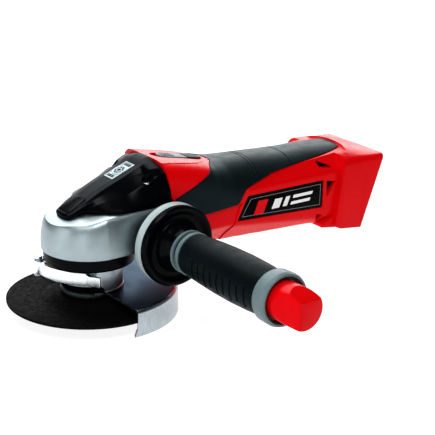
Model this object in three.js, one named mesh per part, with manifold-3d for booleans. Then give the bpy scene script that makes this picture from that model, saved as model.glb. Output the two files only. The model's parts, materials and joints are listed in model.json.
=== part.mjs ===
// Cordless angle grinder for 115 mm discs, millimetres, +Z up.
// The origin is the centre of the spindle's end face. The spindle turns about +Z, the motor lies
// along +X towards the battery foot, and the side handle is screwed into the -Y side.
import * as THREE from "three";
import { mergeVertices } from "three/addons/utils/BufferGeometryUtils.js";
import Module from "manifold-3d";

const wasm = await Module();
wasm.setup();

const GAP = 0.3; // clearance between neighbouring pieces
const FAR = 200; // reach of a tool that cuts right through

// Driving dimensions
const DISC = { r: 57.5, rimTop: 6, thick: 1.8, hubRise: 3.6, hubR: 24, hubThick: 2.6, boreR: 11.2 };
const GUARD = { r: 60.5, top: 14.6, sheet: 2, bottom: -4.2, holeR: 21.2, tongue: 2.5 };
const COLLAR = { inner: 20.8, outer: 22.6, bottom: 14.6, top: 32.6 };
const HEAD = { r: 33, bottom: 41.5, top: 70.6, rear: 49.7, rearY: 30.5 };
const FLANGE = { r: 31.6, bottom: 33, top: 41.2, neckR: 20.4, neckBottom: 15.2 };
const MOTOR_Z = 56; // height of the motor's axis
const GEARS = { teeth: 28, pinionTeeth: 8, pitchR: 18, innerShare: 0.68 };
const LOCK = { x: -10, pinR: 1.5 };
const SHELL = { front: 50, topFront: 43.2, wall: 4.2, bellyWall: 2.2, skin: 1.8 };
const FOOT = { tilt: 20.93, x: 218.6, z: 28.9, solid: 12, pocket: 8 };
const HANDLE = { x: 39.4, z: 48, back: -38, end: -164, tip: -184 };
const LEVER = { x: -29, y: 19.5, bottom: 22.2, top: 31.4 };

// ---- solid modelling helpers -------------------------------------------------------------------

function solid(geometry) {
  const bare = geometry.clone();
  bare.deleteAttribute("normal");
  bare.deleteAttribute("uv");
  const merged = mergeVertices(bare, 1e-4);
  const index = [];
  for (let i = 0; i < merged.index.count; i += 3) {
    const [a, b, c] = [0, 1, 2].map((k) => merged.index.getX(i + k));
    if (a !== b && b !== c && c !== a) index.push(a, b, c);
  }
  const build = (triVerts) => {
    const vertProperties = merged.attributes.position.array;
    return new wasm.Manifold(new wasm.Mesh({ numProp: 3, vertProperties, triVerts }));
  };
  const made = build(new Uint32Array(index));
  return made.volume() > 0 ? made : build(new Uint32Array(index.reverse()));
}

const join = (first, ...rest) => rest.reduce((a, b) => a.add(b), first);
const cut = (first, ...rest) => rest.reduce((a, b) => a.subtract(b), first);

// Maps geometry built along +Z so that it runs along the named axis; the outline's own two
// directions become (y, z) for x, (x, z) for y and (x, y) for z.
function lay(geometry, axis) {
  const basis = {
    x: [[0, 1, 0], [0, 0, 1], [1, 0, 0]],
    y: [[1, 0, 0], [0, 0, 1], [0, 1, 0]],
    z: [[1, 0, 0], [0, 1, 0], [0, 0, 1]],
  }[axis].map((v) => new THREE.Vector3(...v));
  return geometry.applyMatrix4(new THREE.Matrix4().makeBasis(...basis));
}

function box(x0, x1, y0, y1, z0, z1) {
  const g = new THREE.BoxGeometry(x1 - x0, y1 - y0, z1 - z0);
  return solid(g.translate((x0 + x1) / 2, (y0 + y1) / 2, (z0 + z1) / 2));
}

// A round bar along an axis; u and v are its centre in the axis's outline directions.
function rod(axis, r, from, to, u = 0, v = 0, sides = 18) {
  const g = new THREE.CylinderGeometry(r, r, to - from, sides);
  g.rotateX(Math.PI / 2).translate(u, v, (from + to) / 2);
  return solid(lay(g, axis));
}

// A profile of [radius, height] points turned about the axis; it closes on itself.
function turned(axis, points, u = 0, v = 0, sides = 24) {
  const loop = [...points, points[0]].map(([r, h]) => new THREE.Vector2(r, h));
  const g = new THREE.LatheGeometry(loop, sides);
  return solid(lay(g.rotateX(Math.PI / 2).translate(u, v, 0), axis));
}

const ring = (axis, inner, outer, from, to, u = 0, v = 0, sides = 24) =>
  turned(axis, [[inner, from], [outer, from], [outer, to], [inner, to]], u, v, sides);

function prism(axis, outline, from, to) {
  const shape = Array.isArray(outline)
    ? new THREE.Shape(outline.map(([u, v]) => new THREE.Vector2(u, v)))
    : outline;
  const g = new THREE.ExtrudeGeometry(shape, {
    depth: to - from,
    bevelEnabled: false,
    curveSegments: 7,
  });
  return solid(lay(g.translate(0, 0, from), axis));
}

// An oblong with round ends, long along u.
function oblong(u0, u1, halfWidth) {
  const shape = new THREE.Shape();
  shape.absarc(u1 - halfWidth, 0, halfWidth, -Math.PI / 2, Math.PI / 2);
  shape.absarc(u0 + halfWidth, 0, halfWidth, Math.PI / 2, (3 * Math.PI) / 2);
  return shape;
}

// A skin over sections across X: each section is { x, points: [[y, z], ...] }, all alike in count.
function skin(sections) {
  const count = sections[0].points.length;
  const g = new THREE.CylinderGeometry(1, 1, 1, count, sections.length - 1);
  const at = g.attributes.position;
  for (let i = 0; i < at.count; i++) {
    const [px, py, pz] = [at.getX(i), at.getY(i), at.getZ(i)];
    const { x, points } = sections[Math.round((py + 0.5) * (sections.length - 1))];
    if (Math.hypot(px, pz) < 0.5) {
      const mean = (k) => points.reduce((s, p) => s + p[k], 0) / count;
      at.setXYZ(i, x, mean(0), mean(1));
    } else {
      const turn = Math.round((Math.atan2(px, pz) / (2 * Math.PI)) * count);
      at.setXYZ(i, x, ...points[(turn + count) % count]);
    }
  }
  return solid(g);
}

const arc = (count, from, to, at) =>
  Array.from({ length: count }, (_, i) => at(from + ((to - from) * i) / (count - 1)));

const polar = (r, degrees) => {
  const a = (degrees * Math.PI) / 180;
  return [r * Math.cos(a), r * Math.sin(a)];
};

// ---- housing envelope --------------------------------------------------------------------------

// Half width, top, bottom, and how square the section is above and below its middle.
const STATIONS = [
  { x: 30, w: 28, top: 101.6, bottom: 32.2, up: 5, down: 2.6 },
  { x: 38, w: 28.6, top: 100, bottom: 32, up: 5, down: 2.6 },
  { x: 50, w: 29, top: 97.6, bottom: 31.6, up: 5, down: 2.6 },
  { x: 66, w: 29.6, top: 94.4, bottom: 31.2, up: 4.6, down: 2.6 },
  { x: 82, w: 29.8, top: 91, bottom: 31, up: 3.8, down: 2.6 },
  { x: 92, w: 29.8, top: 88.8, bottom: 30.8, up: 2.9, down: 2.6 },
  { x: 104, w: 29.6, top: 86.8, bottom: 30.6, up: 2.5, down: 2.6 },
  { x: 133, w: 29.4, top: 85, bottom: 29.8, up: 2.4, down: 2.6 },
  { x: 171, w: 29.4, top: 82.8, bottom: 28.6, up: 2.4, down: 2.8 },
  { x: 188, w: 30, top: 82.4, bottom: 26.8, up: 2.8, down: 3 },
  { x: 199, w: 32, top: 84.2, bottom: 23.4, up: 4, down: 4 },
  { x: 208, w: 33.6, top: 84.8, bottom: 22, up: 6, down: 5 },
  { x: 218, w: 33.8, top: 82.2, bottom: 24, up: 6, down: 5 },
  { x: 245, w: 33.8, top: 75, bottom: 29, up: 6, down: 5 },
];
const BODY_SIDES = 24;

function envelope(inset) {
  return skin(
    STATIONS.map(({ x, w, top, bottom, up, down }) => {
      const middle = (top + bottom) / 2;
      const points = Array.from({ length: BODY_SIDES }, (_, i) => {
        const a = ((i + 0.5) / BODY_SIDES) * 2 * Math.PI;
        const n = 2 / (Math.sin(a) > 0 ? up : down);
        const bulge = (c) => Math.sign(c) * Math.abs(c) ** n;
        const half = (top - bottom) / 2 - inset;
        return [(w - inset) * bulge(Math.cos(a)), middle + half * bulge(Math.sin(a))];
      });
      return { x, points };
    }),
  );
}

// Turns and shifts a piece from the battery interface's own frame: x out of the rear face,
// z up along it, with the origin in the middle of the face.
const FOOT_MID = { x: FOOT.x + Math.tan((FOOT.tilt * Math.PI) / 180) * (52 - FOOT.z), z: 52 };
const onFoot = (piece) => piece.rotate([0, FOOT.tilt, 0]).translate([FOOT_MID.x, 0, FOOT_MID.z]);

// The side view that the housing fills in front, grown backwards by a clearance.
const housingOutline = (grow) => [
  [SHELL.topFront + grow, 110],
  [SHELL.front - 2 + grow, 74.4],
  [SHELL.front + grow, 72],
  [SHELL.front + grow, 10],
  [270, 10],
  [270, 110],
];

// The side view of the rubber skin; shrink moves its edges inwards.
const gripOutline = (s) => [
  [76 + s, 110],
  [75 + s, 91.5],
  [SHELL.front + 1 + s, 74 - s],
  [SHELL.front + 1 + s, 56 + s],
  [104 - s, 59.6 + s],
  [111 - s, 69.3 + s],
  [136.3, 76 + s],
  [209 - 2 * s, 80.6 + s],
  [211 - s, 82],
  [211 - s, 110],
];

// The rubber leaves the slide switch's red tongue clear on top.
const tongue = (s) => [[20, -24], [74, -24 - s], [88 + s, -16 - s], [97 + s, -7], [97 + s, 7],
  [88 + s, 16 + s], [74, 24 + s], [20, 24]];
const gripRegion = (s) =>
  prism("y", gripOutline(s), -FAR, FAR).subtract(prism("z", tongue(s), 85, FAR));

const half = (side) =>
  side > 0 ? box(-FAR, 300, GAP / 2, FAR, -FAR, FAR) : box(-FAR, 300, -FAR, -GAP / 2, -FAR, FAR);

function housing(side) {
  const rearCut = onFoot(box(0, 60, -FAR, FAR, -FAR, FAR));
  const belly = envelope(SHELL.bellyWall).intersect(box(0, 300, -FAR, FAR, 0, 53));
  const hollow = join(envelope(SHELL.wall), belly)
    .subtract(onFoot(box(-FOOT.solid, 60, -FAR, FAR, -FAR, FAR)));
  const recess = envelope(-1)
    .subtract(envelope(SHELL.skin + GAP))
    .intersect(gripRegion(-GAP));
  const channel = onFoot(
    join(
      box(-FOOT.pocket, 2, -21.5, 21.5, -17, 60),
      box(-FOOT.pocket, -3.2, -25, 25, -17, 60),
    ),
  );
  const panel = prism("y", panelOutline(-GAP), -FAR, FAR).subtract(
    box(-FAR, 300, -PANEL.seat, PANEL.seat, -FAR, FAR),
  );
  const dish = prism("z", oblong(SLIDE.dishFrom, SLIDE.dishTo, 7), 80, 110).subtract(
    prism("y", topBand(-40, 0), -FAR, FAR));
  const slot = box(59.4, 72.5, -2.7, 2.7, 60, 110);
  const vents = [0, 1, 2, 3].map((i) => {
    const x = 162 + 7 * i;
    return prism("y", [[x, 33], [x + 3, 33], [x + 6, 39], [x + 3, 39]], -FAR, FAR);
  });
  const body = envelope(0).intersect(prism("y", housingOutline(0), -FAR, FAR));
  const bosses = SCREWS.map(([x, z]) => rod("y", 4.5, -40, 40, x, z, 16).intersect(envelope(1)));
  const shell = join(cut(body, hollow), ...bosses);
  return cut(shell, rearCut, recess, channel, panel, dish, slot, ...vents,
    ...SCREWS.map(screwWell)).intersect(half(side));
}

// The slide button's seat: a side-view band between two lines that fall with the housing's top.
const SLIDE = { dishFrom: 50.2, dishTo: 91.6, from: 55.2, to: 91, halfWidth: 5.8 };
const topBand = (low, high) => {
  const floor = (x) => 97.3 - (x - 40) * 0.196;
  return [[40, floor(40) + low], [95, floor(95) + low], [95, floor(95) + high],
    [40, floor(40) + high]];
};

const PANEL = { seat: 28.4 };
const panelOutline = (s) => [
  [104 + 1.6 * s, 47.5 + s],
  [113 + s, 63.6 - s],
  [181 - s, 63 - s],
  [180.6 - s, 43.6 + s],
];

function grip(side) {
  return envelope(0)
    .subtract(envelope(SHELL.skin))
    .intersect(gripRegion(0))
    .intersect(half(side));
}

function sidePanel(side) {
  const [from, to] = side > 0 ? [PANEL.seat + GAP, 29.7] : [-29.7, -PANEL.seat - GAP];
  return prism("y", panelOutline(0), from, to);
}

// Screws that clamp the two housing halves, entered from the +Y side.
const SCREWS = [[54.6, 86], [152, 37], [192, 34]];
const screwWell = ([x, z]) =>
  join(rod("y", 3.4, 17, 60, x, z, 14), rod("y", 2, -15, 18, x, z, 10));
const housingScrew = ([x, z]) =>
  join(rod("y", 3, 17.3, 19.9, x, z, 14), rod("y", 1.6, -14, 17.4, x, z, 10));

// ---- gear head, cover and spindle --------------------------------------------------------------

function headOutline(inset) {
  const side = (sign) => [HEAD.rear, sign * (HEAD.rearY - inset)];
  return [side(1), ...arc(17, 97, 263, (a) => polar(HEAD.r - inset, a)), side(-1)];
}

const HANDLE_FACE = 37.6; // the bosses' flat faces, from the middle plane
function boss(side) {
  const [from, to] = side > 0 ? [20, HANDLE_FACE] : [-HANDLE_FACE, -20];
  return rod("y", 9.9, from, to, HANDLE.x, HANDLE.z, 20);
}

function gearHead() {
  const layers = [[0, HEAD.bottom], [0, 50], [1.4, 60], [3.4, 65.5], [6.5, HEAD.top]];
  const steps = layers.slice(1).map(([inset, top], i) => {
    const below = layers[i];
    return frustum(headOutline(below[0]), headOutline(inset), below[1], top);
  });
  const socket = (from, to) => rod("y", 4.25, from, to, HANDLE.x, HANDLE.z, 14);
  const barrel = rod("x", 24, 24, HEAD.rear, 0, MOTOR_Z, 24);
  const gearRoom = rod("z", 21, 30, 63, 0, 0, 24);
  const shaftBore = rod("x", 12.4, 0, 60, 0, MOTOR_Z, 18);
  const upperSeat = rod("z", 8.4, 60, 68.2, 0, 0, 18);
  const pinBore = rod("z", LOCK.pinR + 0.5, 60, 80, LOCK.x, 0, 10);
  const springSeat = rod("z", 3, 68.6, 80, LOCK.x, 0, 12);
  const flangeHoles = flangeScrewPlaces().map(([x, y]) => rod("z", 2.4, 30, 54, x, y, 8));
  const coverHoles = [-1, 1].map((s) => rod("z", 1.9, 64, 80, COVER_SCREW.x, s * COVER_SCREW.y, 10));
  const flangeRoom = rod("z", FLANGE.r + 0.8, 0, HEAD.bottom, 0, 0, 36);
  const noseTop = prism("y", [[-40, 60.6], [-5, 70.2], [-5, 90], [-40, 90]], -FAR, FAR);
  return cut(join(...steps, barrel, boss(1), boss(-1)), gearRoom, shaftBore, upperSeat, pinBore,
    springSeat, noseTop, flangeRoom, socket(20, 60), socket(-60, -20), ...flangeHoles, ...coverHoles);
}

// A solid between two outlines of the same count at two heights.
function frustum(lower, upper, z0, z1) {
  const count = lower.length;
  const g = new THREE.CylinderGeometry(1, 1, 1, count, 1);
  const at = g.attributes.position;
  for (let i = 0; i < at.count; i++) {
    const [px, py, pz] = [at.getX(i), at.getY(i), at.getZ(i)];
    const points = py > 0 ? upper : lower;
    const z = py > 0 ? z1 : z0;
    const turn = Math.round((Math.atan2(px, pz) / (2 * Math.PI)) * count);
    if (Math.hypot(px, pz) < 0.5) at.setXYZ(i, 0, 0, z);
    else at.setXYZ(i, ...points[(turn + count) % count], z);
  }
  return solid(g);
}

const COVER_SCREW = { x: 33, y: 20.5, seat: 83.2 };
const flangeScrewPlaces = () => [45, 135, 225, 315].map((a) => polar(26.6, a));

function bearingFlange() {
  const body = turned("z", [[20.4, FLANGE.neckBottom], [FLANGE.neckR, FLANGE.bottom],
    [FLANGE.r - 1, FLANGE.bottom], [FLANGE.r, FLANGE.bottom + 1.2], [FLANGE.r, FLANGE.top],
    [16.1, FLANGE.top], [16.1, 30.2], [12, 30.2], [12, FLANGE.neckBottom]], 0, 0, 36);
  const holes = flangeScrewPlaces().map(([x, y]) =>
    join(rod("z", 2.4, 30, 50, x, y, 8), rod("z", 4.3, 30, 36, x, y, 10)));
  return cut(body, ...holes);
}

function flangeScrew([x, y]) {
  return join(rod("z", 4, 33.2, 35.7, x, y, 10), rod("z", 2.1, 35.6, 52, x, y, 8));
}

// A sealed ball bearing: its shield lies a little below the rings' faces.
const bearing = (axis, inner, outer, from, to, u = 0, v = 0) => {
  const [low, high] = [inner + (outer - inner) * 0.3, inner + (outer - inner) * 0.7];
  return turned(axis, [[inner, from], [low, from], [low, from + 0.4], [high, from + 0.4],
    [high, from], [outer, from], [outer, to], [inner, to]], u, v, 18);
};

function spindle() {
  return turned("z", [[0, 0], [5.9, 0], [6.8, 1], [6.8, 14.4], [8.6, 14.6], [8.6, 30],
    [6, 30], [6, 60], [4.6, 61], [4.6, 67.4], [0, 67.4]], 0, 0, 20);
}

function innerFlange() {
  return turned("z", [[7.1, 7.2], [10.9, 7.2], [10.9, 9.9], [19.6, 9.9], [20.5, 10.8],
    [20.5, 13], [19.4, 14.3], [7.1, 14.3]], 0, 0, 28);
}

function grindingDisc() {
  const { r, rimTop, thick, hubRise, hubR, hubThick, boreR } = DISC;
  const hubTop = rimTop + hubRise;
  return turned("z", [[boreR, hubTop - hubThick], [hubR, hubTop - hubThick],
    [hubR + 8, rimTop - thick], [r, rimTop - thick], [r, rimTop], [hubR + 9, rimTop],
    [hubR + 1, hubTop], [boreR, hubTop]], 0, 0, 48);
}

function lockNut() {
  const body = turned("z", [[7.1, 0.3], [16.6, 0.3], [17.4, 1.4], [17.4, 3.4], [20, 3.6],
    [20, 6.7], [7.1, 6.7]], 0, 0, 24);
  return cut(body, ...[15, -15].map((x) => rod("z", 2.6, -3, 3, x, 0, 10)));
}

// ---- bevel gears -------------------------------------------------------------------------------

// A straight-toothed bevel gear about +Z with its cone's apex at the origin and its teeth facing +Z.
function bevelGear(teeth, pitchR, coneZ, thickness, backDepth, boreR) {
  const cone = Math.hypot(pitchR, coneZ);
  const [dr, dz] = [pitchR / cone, -coneZ / cone];
  const module = (2 * pitchR) / teeth;
  const point = (share, lift, angle) => {
    const [r, z] = [dr * cone - dz * lift, dz * cone + dr * lift].map((c) => c * share);
    return [r * Math.cos(angle), r * Math.sin(angle), z];
  };
  const loop = (share, bottomZ) => {
    const out = [];
    for (let i = 0; i < teeth; i++) {
      const at = (i * 2 * Math.PI) / teeth;
      const pitch = Math.PI / teeth;
      const spread = [[-thickness * 1.25, -1.15], [-thickness * 0.5, 0.8],
        [thickness * 0.5, 0.8], [thickness * 1.25, -1.15]];
      spread.forEach(([u, lift]) => {
        const p = point(share, lift * module, at + u * pitch);
        out.push(bottomZ === undefined ? p : [p[0], p[1], bottomZ]);
      });
    }
    return out;
  };
  const outer = loop(1);
  const inner = loop(GEARS.innerShare);
  const count = outer.length;
  const rows = [loop(GEARS.innerShare, -backDepth), loop(0.98, -backDepth), outer, inner];
  const g = new THREE.CylinderGeometry(1, 1, 1, count, rows.length - 1);
  const at = g.attributes.position;
  for (let i = 0; i < at.count; i++) {
    const [px, py, pz] = [at.getX(i), at.getY(i), at.getZ(i)];
    const row = rows[Math.round((0.5 - py) * (rows.length - 1))];
    const turn = (Math.round((Math.atan2(px, pz) / (2 * Math.PI)) * count) + count) % count;
    if (Math.hypot(px, pz) < 0.5) at.setXYZ(i, 0, 0, row[0][2] + (py > 0 ? 0 : -0.6));
    else at.setXYZ(i, ...row[turn]);
  }
  return solid(g).subtract(rod("z", boreR, -FAR, FAR));
}

const PINION_R = (GEARS.pitchR * GEARS.pinionTeeth) / GEARS.teeth;

function crownGear() {
  const gear = bevelGear(GEARS.teeth, GEARS.pitchR, PINION_R, 0.4, 12, 6.1)
    .subtract(rod("z", 12.4, -8.6, 10, 0, 0, 28));
  const hub = ring("z", 6.1, 7.4, -9, -6.2, 0, 0, 18);
  const pockets = [0, 90, 180, 270].map((a) => rod("z", 2.1, -20, 0, ...polar(10, a), 8));
  return cut(gear.add(hub), ...pockets).translate([0, 0, MOTOR_Z]);
}

function pinion() {
  const raw = bevelGear(GEARS.pinionTeeth, PINION_R, GEARS.pitchR, 0.4, 22.5, 2.6);
  return raw
    .rotate([0, 0, 180 / GEARS.pinionTeeth])
    .rotate([0, -90, 0])
    .translate([0, 0, MOTOR_Z]);
}

// ---- top cover, spindle lock and slide switch --------------------------------------------------

// Half sections of the cover: x, then [y, z] from the foot up to the spine's flat top.
const COVER = [
  [-22.2, [4, 66.2], [4, 67.2], [3.8, 67.6], [3.5, 68], [2.5, 68.4]],
  [-20.5, [7.6, 66.4], [8, 67.6], [8, 68.1], [7.8, 68.7], [6.3, 69.7]],
  [-16, [9.2, 67.4], [9.5, 68.8], [9.4, 69.5], [9, 70.4], [7.6, 72]],
  [-12, [10.4, 68.6], [10.6, 70], [10.4, 71.2], [9.8, 72.8], [8, 74.4]],
  [-7.5, [12, 70], [12.2, 71.4], [11.6, 72.8], [10.4, 75.4], [8.6, 77]],
  [-4.5, [20, 70.9], [20.4, 72.6], [14, 74.4], [11.2, 77.2], [9, 78.8]],
  [3, [26.4, 70.9], [27, 73.2], [17, 76.4], [12, 80.2], [9.4, 82.5]],
  [12, [28, 70.9], [28.6, 73.4], [19.5, 78.6], [12.8, 83.5], [9.8, 86.3]],
  [21, [28.6, 70.9], [29.2, 73.6], [21.5, 82], [13, 86.6], [10, 89.6]],
  [29, [28.6, 70.9], [29.2, 74], [22.8, 85.8], [13.2, 89.6], [10.4, 92.6]],
  [33.5, [28.6, 70.9], [29.2, 75], [23.4, 87], [14, 91.2], [10.8, 94.4]],
  [38, [28.6, 70.9], [29.2, 77.5], [24.6, 90], [18.5, 94], [11, 96.4]],
  [43.5, [28.6, 70.9], [29.2, 79], [25, 91], [20.3, 94.6], [11, 97.2]],
  [54, [28.6, 70.9], [29.2, 79], [25, 91], [20.3, 94.6], [11, 97.2]],
];

function coverSkin(wall) {
  return skin(
    COVER.map(([x, foot, ...rise]) => {
      const side = [[foot[0] - wall, foot[1] - 3 * wall],
        ...rise.map(([y, z]) => [Math.max(y - wall, 0.6), z - wall])];
      return { x, points: [...side.map(([y, z]) => [-y, z]).reverse(), ...side] };
    }).slice(wall > 0 ? 3 : 0),
  );
}

const BADGE = { x: 24.4, z: 91, slope: -20.3, length: 20, width: 10.8, thick: 0.8 };
const onSpine = (piece) => piece.rotate([0, BADGE.slope, 0]).translate([BADGE.x, 0, BADGE.z]);

function badgePlate() {
  const { length, width, thick } = BADGE;
  return onSpine(box(-length / 2, length / 2, -width / 2, width / 2, -thick, 0));
}

function topCover() {
  const rearOutline = [[-60, 110], [SHELL.topFront - GAP, 110], [SHELL.front - 2 - GAP, 74.4],
    [SHELL.front - 2 - GAP, 60], [-60, 60]];
  const posts = [-1, 1].map((s) => rod("z", 4.6, 74.3, 90, COVER_SCREW.x, s * COVER_SCREW.y, 14));
  const shell = cut(coverSkin(0), coverSkin(2.2), rod("x", 24.9, 23.4, 60, 0, MOTOR_Z, 24));
  const { length, width, thick } = BADGE;
  const badgeSeat = onSpine(box(-length / 2 - GAP, length / 2 + GAP, -width / 2 - GAP,
    width / 2 + GAP, -thick - GAP, 5));
  const wells = [-1, 1].map((s) =>
    join(rod("z", 3.1, COVER_SCREW.seat, 120, COVER_SCREW.x, s * COVER_SCREW.y, 14),
      rod("z", 1.9, 70, 90, COVER_SCREW.x, s * COVER_SCREW.y, 10)));
  const buttonHole = box(-20.1, -5.9, -7.3, 7.3, 60, 110);
  return cut(join(shell, ...posts.map((p) => p.intersect(coverSkin(0)))), badgeSeat, buttonHole,
    ...wells).intersect(prism("y", rearOutline, -FAR, FAR));
}

function coverScrew(side) {
  const at = [COVER_SCREW.x, side * COVER_SCREW.y];
  return join(rod("z", 2.8, COVER_SCREW.seat + GAP, COVER_SCREW.seat + 2.6, ...at, 14),
    rod("z", 1.5, 66, COVER_SCREW.seat + 0.4, ...at, 10));
}

function lockButton() {
  return prism("y", [[-19.8, 69.4], [-19.8, 70.6], [-6.2, 78.6], [-6.2, 74], [-12.6, 74]], -7, 7);
}

function lockPin() {
  return turned("z", [[0, 48.6], [LOCK.pinR, 48.6], [LOCK.pinR, 73.2], [2.4, 73.2], [2.4, 73.9],
    [0, 73.9]], LOCK.x, 0, 14);
}

function lockSpring() {
  const turns = 3;
  const [low, high, r] = [69.1, 72.7, 2.05];
  const path = new THREE.CatmullRomCurve3(
    Array.from({ length: turns * 12 + 1 }, (_, i) => {
      const [x, y] = polar(r, i * 30);
      return new THREE.Vector3(LOCK.x + x, y, low + ((high - low) * i) / (turns * 12));
    }),
  );
  const wire = new THREE.Shape().absarc(0, 0, 0.4, 0, 2 * Math.PI);
  return solid(new THREE.ExtrudeGeometry(wire, {
    extrudePath: path, steps: turns * 10, curveSegments: 3,
  }));
}

function slideButton() {
  const cap = prism("z", oblong(SLIDE.from, SLIDE.to, SLIDE.halfWidth), 80, 110)
    .intersect(prism("y", topBand(GAP, 2.8), -FAR, FAR));
  const notch = box(76.5, 77.7, -10, 10, 93.2, 110);
  return cut(join(cap, box(64.6, 72.1, -2.3, 2.3, 83, 92.6)), notch);
}

function slideRod() {
  return join(box(64.8, 149.8, -3, 3, 78.2, 79), box(64.8, 71.9, -2.2, 2.2, 78.9, 82.7),
    box(148.2, 149.8, -3, 3, 68, 78.9));
}

// ---- motor -------------------------------------------------------------------------------------

const onMotor = (points, sides = 24) => turned("x", points, 0, MOTOR_Z, sides);

const motorShaft = () => onMotor([[0, 11.9], [2.5, 11.9], [2.5, 23], [4.6, 23], [4.6, 33.6],
  [3.9, 33.6], [3.9, 41.4], [4.6, 41.4], [4.6, 56], [2.9, 56], [2.9, 144], [0, 144]], 18);

function fan() {
  const hub = onMotor([[3.1, 57], [6, 57], [21, 58.6], [21, 59.8], [8, 59.8], [8, 65], [3.1, 65]]);
  const blades = Array.from({ length: 9 }, (_, i) =>
    box(59.4, 65, 7, 20.4, -0.6, 0.6).rotate([i * 40, 0, 0]).translate([0, 0, MOTOR_Z]));
  return join(hub, ...blades);
}

function armature() {
  const core = onMotor([[3.1, 72], [9, 72], [12, 75], [12, 80], [15.8, 80], [15.8, 118],
    [12, 118], [12, 122], [9, 125], [3.1, 125]]);
  const slots = Array.from({ length: 7 }, (_, i) =>
    box(79, 119, 13, 17, -0.9, 0.9).rotate([(i * 360) / 7, 0, 0]).translate([0, 0, MOTOR_Z]));
  return cut(core, ...slots);
}

const commutator = () => onMotor([[3.1, 126], [8.5, 126], [8.5, 137], [3.1, 137]], 20);

const motorCan = () => onMotor([[8, 68], [22, 68], [22, 130], [20.5, 130], [20.5, 69.6],
  [8, 69.6]]);

const magnetRing = () => onMotor([[16.6, 76], [20.2, 76], [20.2, 122], [16.6, 122]]);

const brushPlate = () => onMotor([[20, 130.4], [22, 130.4], [22, 143], [7.2, 143], [7.2, 141],
  [20, 141]]);

const brush = (side) =>
  side > 0 ? box(129, 134.5, 8.8, 19.6, MOTOR_Z - 2.5, MOTOR_Z + 2.5)
    : box(129, 134.5, -19.6, -8.8, MOTOR_Z - 2.5, MOTOR_Z + 2.5);

// ---- switch, electronics and battery terminals -------------------------------------------------

const switchModule = () =>
  join(box(152, 168, -8, 8, 60, 77), box(150.2, 152.2, -3, 3, 66, 72));

const controlBoard = () =>
  join(box(158, 186, -18, 18, 42, 43.6), rod("z", 4, 43.4, 52, 166, -9, 14),
    box(172, 182, 2, 14, 43.4, 48));

const terminalBlock = () => onFoot(box(-FOOT.pocket + GAP, -5, -14, 14, -12, 10));
const terminal = (y) => onFoot(box(-4.7, -0.6, y - 0.5, y + 0.5, -8, 8));

// ---- guard -------------------------------------------------------------------------------------

function guardShield() {
  const { r, top, sheet, bottom, holeR, tongue } = GUARD;
  const full = turned("z", [[holeR, top - sheet], [r - sheet, top - sheet], [r - sheet, bottom],
    [r, bottom], [r, top - 1.4], [r - 1.4, top], [holeR, top]], 0, 0, 64);
  const kept = [[0, top + 5], [0, bottom + 6], [-tongue, bottom], [-tongue, -20], [80, -20],
    [80, top + 5]];
  return full.intersect(prism("y", kept, -FAR, FAR));
}

function guardCollar() {
  const { inner, outer, bottom, top } = COLLAR;
  const sleeve = ring("z", inner, outer, bottom + GAP, top, 0, 0, 36);
  const lugs = [[20.4, 21.9], [31.7, top]].map(([z0, z1]) => box(-32, -9, 15.6, 23.4, z0, z1));
  const ears = [box(-27.6, -17, 13.4, 15, 22.6, 30.4), box(-27.6, -18, 8.2, 11.4, 22.6, 30.4)];
  const bore = rod("z", inner, -FAR, FAR, 0, 0, 36);
  const split = box(-40, -12, 11.4, 13.4, 0, 60);
  const pinHole = rod("z", 1.9, 0, 60, LEVER.x, LEVER.y, 12);
  const screwHole = rod("y", 2.1, 7, 17, CLAMP.x, CLAMP.z, 12);
  const open = box(-40, -2, -40, 40, 0, 20.1); // the collar only reaches the sheet on the guard's side
  return cut(join(sleeve, ...lugs, ...ears), bore, split, pinHole, screwHole, open);
}

// The clamp's screw draws the collar's two ears together.
const CLAMP = { x: -24.8, z: 26.5 };
const clampScrew = () => join(rod("y", 2.6, 5.4, 7.9, CLAMP.x, CLAMP.z, 14),
  rod("y", 1.8, 7.8, 15.2, CLAMP.x, CLAMP.z, 12));

const leverPin = () => turned("z", [[0, 20.4], [1.6, 20.4], [1.6, 32.8], [2.9, 32.8], [2.9, 34.4],
  [0, 34.4]], LEVER.x, LEVER.y, 14);

// A bent strip of sheet, seen from above: its centre line and half its thickness.
function strip(points, half) {
  const sides = points.map(([x, y], i) => {
    const [a, b] = [points[Math.max(i - 1, 0)], points[Math.min(i + 1, points.length - 1)]];
    const [dx, dy] = [b[0] - a[0], b[1] - a[1]];
    const scale = half / Math.hypot(dx, dy);
    return [[x - dy * scale, y + dx * scale], [x + dy * scale, y - dx * scale]];
  });
  return [...sides.map((p) => p[0]), ...sides.map((p) => p[1]).reverse()];
}

const LEVER_LINE = [[LEVER.x - 0.4, 16.5], [-29.6, 9], [-28.9, 3], [-27.2, -3.4], [-24.4, -9.4],
  [-20.6, -14.8], [-15.8, -20], [-12.2, -24.2], [-9.2, -28.8]];

function clampLever() {
  const strap = prism("z", strip(LEVER_LINE, 0.9), LEVER.bottom, LEVER.top);
  const eye = rod("z", 4.2, LEVER.bottom, LEVER.top, LEVER.x, LEVER.y, 14);
  const lowEnd = box(-15, 0, -40, -20.8, 29.2, 40);
  return cut(join(strap, eye), lowEnd, rod("z", 1.9, 0, 60, LEVER.x, LEVER.y, 12));
}

// ---- side handle -------------------------------------------------------------------------------

const onHandle = (points, sides = 26) => turned("y", points, HANDLE.x, HANDLE.z, sides);

const handleStud = () => onHandle([[0, -24], [3.4, -24], [3.9, -25], [3.9, -62], [0, -62]], 18);

const handleCore = () => onHandle([[4.2, -38.3], [22, -38.3], [22, -45.8], [28, -45.8],
  [28.2, -49], [26.8, -50.5], [24.8, -50.3], [21.5, -47.6], [17.6, -48.4], [16.3, -51.6],
  [13.6, -56], [13.2, -60], [14.7, -60.6], [15, -61.8], [14.4, -63], [12.6, -63.6],
  [12.6, -157.5], [10.6, -157.5], [10.6, -66], [4.2, -66]]);

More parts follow.
